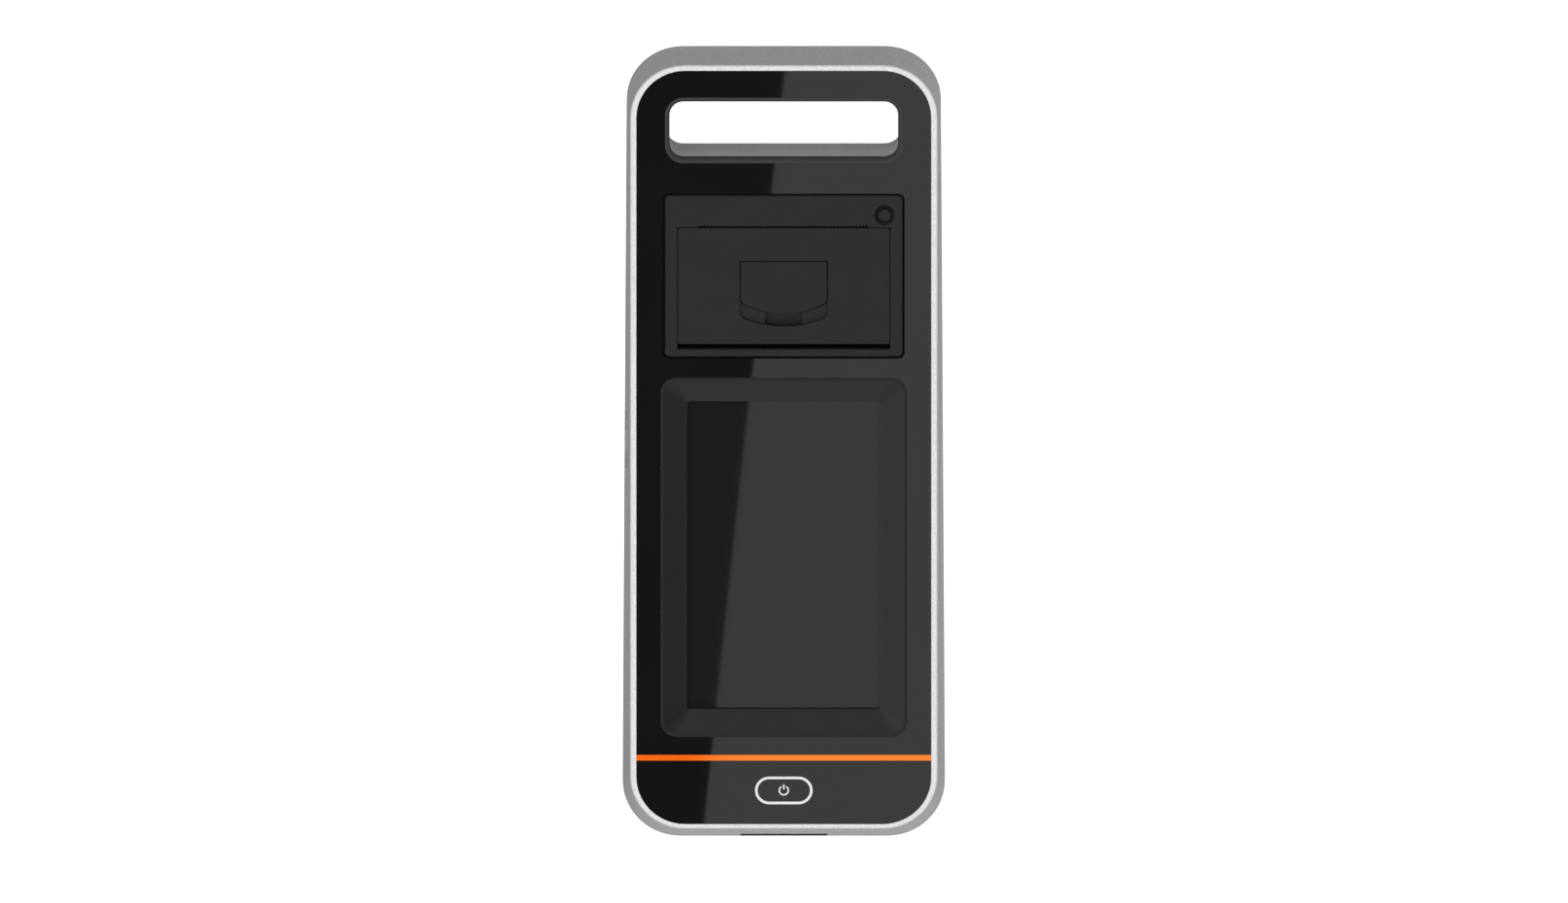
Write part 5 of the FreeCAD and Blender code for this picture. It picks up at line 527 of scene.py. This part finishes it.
corners = FLOOR_HALF * np.array([[-1, -1, 0], [1, -1, 0], [1, 1, 0], [-1, 1, 0]], float)
floor = mesh_piece("floor", corners, [[0, 1, 2, 3]], pale_floor())
floor.visible_diffuse = False
floor.visible_glossy = False


def white_wall():
    """Paper that glows evenly, so it looks the same white from every side."""
    material, tree, shader, coordinates = new_finish("backdrop_paper")
    shader.inputs["Base Color"].default_value = grey(0.0)
    shader.inputs["Specular IOR Level"].default_value = 0.0
    shader.inputs["Emission Color"].default_value = grey(1.0)
    shader.inputs["Emission Strength"].default_value = BACKDROP_GLOW
    return material


room_corners = ROOM_HALF * np.array(
    [[x, y, z] for z in (-1, 1) for x, y in ((-1, -1), (1, -1), (1, 1), (-1, 1))], float)
room_sides = [[0, 1, 2, 3], [7, 6, 5, 4], [4, 5, 1, 0], [5, 6, 2, 1], [6, 7, 3, 2], [7, 4, 0, 3]]
backdrop = mesh_piece("backdrop", room_corners, room_sides, white_wall())
backdrop.visible_diffuse = False
backdrop.visible_glossy = False
backdrop.visible_shadow = False
print("floor in m:", 2 * FLOOR_HALF, "backdrop in m:", 2 * ROOM_HALF)

# %% [markdown]
# ## Sky of the studio
# The unit is lit by the room alone, as under a large white tent. The tent has four bands by height: one
# overhead, one half way up, one around and a dim one underfoot, where the desk takes the light. Within a
# band the level leans in a straight line across the room, so it is brighter to the left overhead, and
# towards the low end further down. Leaning bands give every wall and every slope of the bezel its own
# tone, and they blend into one another, so no edge of a lamp shows in the silver.

# %% Room light
# Each band of the room: light level in its middle, and how much that changes per unit of x and of y
OVERHEAD = (1.25, -1.90, 0.00)
HALF_WAY = (0.65, -0.22, -0.44)
AROUND = (1.14, 0.49, -0.65)
UNDERFOOT = (0.11, 0.10, 0.00)
# Height of a direction (0 level, 1 straight up) over which one band gives way to the next
OVERHEAD_FROM = (0.60, 0.92)
HALF_WAY_FROM = (0.10, 0.60)
AROUND_FROM = (-0.05, 0.05)
DARKEST = 0.01

world = bpy.data.worlds.new("studio_room")
bpy.context.scene.world = world
world.use_nodes = True
sky = world.node_tree
direction = node(sky, "ShaderNodeTexCoord").outputs["Generated"]
parts = node(sky, "ShaderNodeSeparateXYZ", Vector=direction)


def leaning(band):
    """Light level = level + by_x x + by_y y for a band (level, by_x, by_y), never below DARKEST."""
    level, by_x, by_y = band
    along_x = node(sky, "ShaderNodeMath", operation="MULTIPLY_ADD", i0=parts.outputs["X"], i1=by_x, i2=level)
    both = node(sky, "ShaderNodeMath", operation="MULTIPLY_ADD", i0=parts.outputs["Y"], i1=by_y,
                i2=along_x.outputs[0])
    return node(sky, "ShaderNodeMath", operation="MAXIMUM", i0=both.outputs[0], i1=DARKEST).outputs[0]


def stacked(below, above, heights):
    """Goes from the level below to the level above while the direction's height goes through heights."""
    share = between(sky, parts.outputs["Z"], 0.0, 1.0, *heights)
    return node(sky, "ShaderNodeMix", data_type="FLOAT", Factor=share, A=below, B=above).outputs["Result"]


ceiling = stacked(leaning(HALF_WAY), leaning(OVERHEAD), OVERHEAD_FROM)
walls = stacked(leaning(AROUND), ceiling, HALF_WAY_FROM)
background = sky.nodes["Background"]
background.inputs["Color"].default_value = grey(1.0)
sky.links.new(stacked(leaning(UNDERFOOT), walls, AROUND_FROM), background.inputs["Strength"])
print("light overhead, half way and around:", OVERHEAD[0], HALF_WAY[0], AROUND[0])

# %% [markdown]
# ## The black card
# A polished black panel shows nothing but what it reflects, so a studio hangs a black card where the
# panel mirrors it: the card's edge is what draws the slanted line across the panel, the stripe and the
# screen. Seen straight down, the panel sends the view off at twice its slope from the vertical, towards
# the low end. The card stands square across that direction. Because every ray leaves the panel parallel to
# the next, the card's edge shows on the panel at full size, so its place can be laid out in the panel's
# own plan: it crosses the middle at one end and leans out towards the other.

# %% Black card
CARD_DISTANCE = 0.60
EDGE_TOP = (-0.27 * MM, 121.35 * MM)
EDGE_LOW = (-27.10 * MM, -128.65 * MM)
CARD_REACH = 0.16
CARD_LEFT = -0.065

away = Vector((0.0, -math.sin(2 * PANEL_TILT), math.cos(2 * PANEL_TILT)))
upward = Vector((0.0, math.cos(2 * PANEL_TILT), math.sin(2 * PANEL_TILT)))
middle = Vector((0.0, 0.0, PANEL_HEIGHT)) + CARD_DISTANCE * away


def card_spot(x, y):
    """Point of the card that shows on the panel at plan position (x, y)."""
    return middle + Vector((x, 0.0, 0.0)) + y * upward


def edge_x(y):
    """Plan position of the slanted edge at y, on the line through its two named points."""
    run = (EDGE_TOP[0] - EDGE_LOW[0]) / (EDGE_TOP[1] - EDGE_LOW[1])
    return EDGE_LOW[0] + run * (y - EDGE_LOW[1])


card_corners = np.array([card_spot(CARD_LEFT, -CARD_REACH), card_spot(edge_x(-CARD_REACH), -CARD_REACH),
                         card_spot(edge_x(CARD_REACH), CARD_REACH), card_spot(CARD_LEFT, CARD_REACH)])
card = mesh_piece("black_card", card_corners, [[0, 1, 2, 3]], moulded(
    "card_black", 0.0012, 1.0, 2.0 * MM, 0.01 * MM, specular=0.0)[0])
card.visible_camera = False
card.visible_diffuse = False
card.visible_shadow = False
card_lean = math.atan2(EDGE_TOP[0] - EDGE_LOW[0], EDGE_TOP[1] - EDGE_LOW[1])
print("card edge leans", round(math.degrees(card_lean), 2), "deg")

# %% [markdown]
# ## Camera
# The view is a plan: straight down on the unit, with no perspective, as on a drawing. An orthographic
# camera gives that, and its scale is the width of the field in metres.

# %% Camera
FIELD_WIDTH = 0.53833
VIEW_X = 0.07 * MM
VIEW_Y = -3.65 * MM
VIEW_HEIGHT = 1.6

camera_data = bpy.data.cameras.new("plan_camera")
camera_data.type = "ORTHO"
camera_data.ortho_scale = FIELD_WIDTH
camera = bpy.data.objects.new("plan_camera", camera_data)
camera.location = (VIEW_X, VIEW_Y, VIEW_HEIGHT)
bpy.context.scene.collection.objects.link(camera)
bpy.context.scene.camera = camera
bpy.context.scene.view_settings.view_transform = "Standard"
print("camera over the unit, field in m:", FIELD_WIDTH)
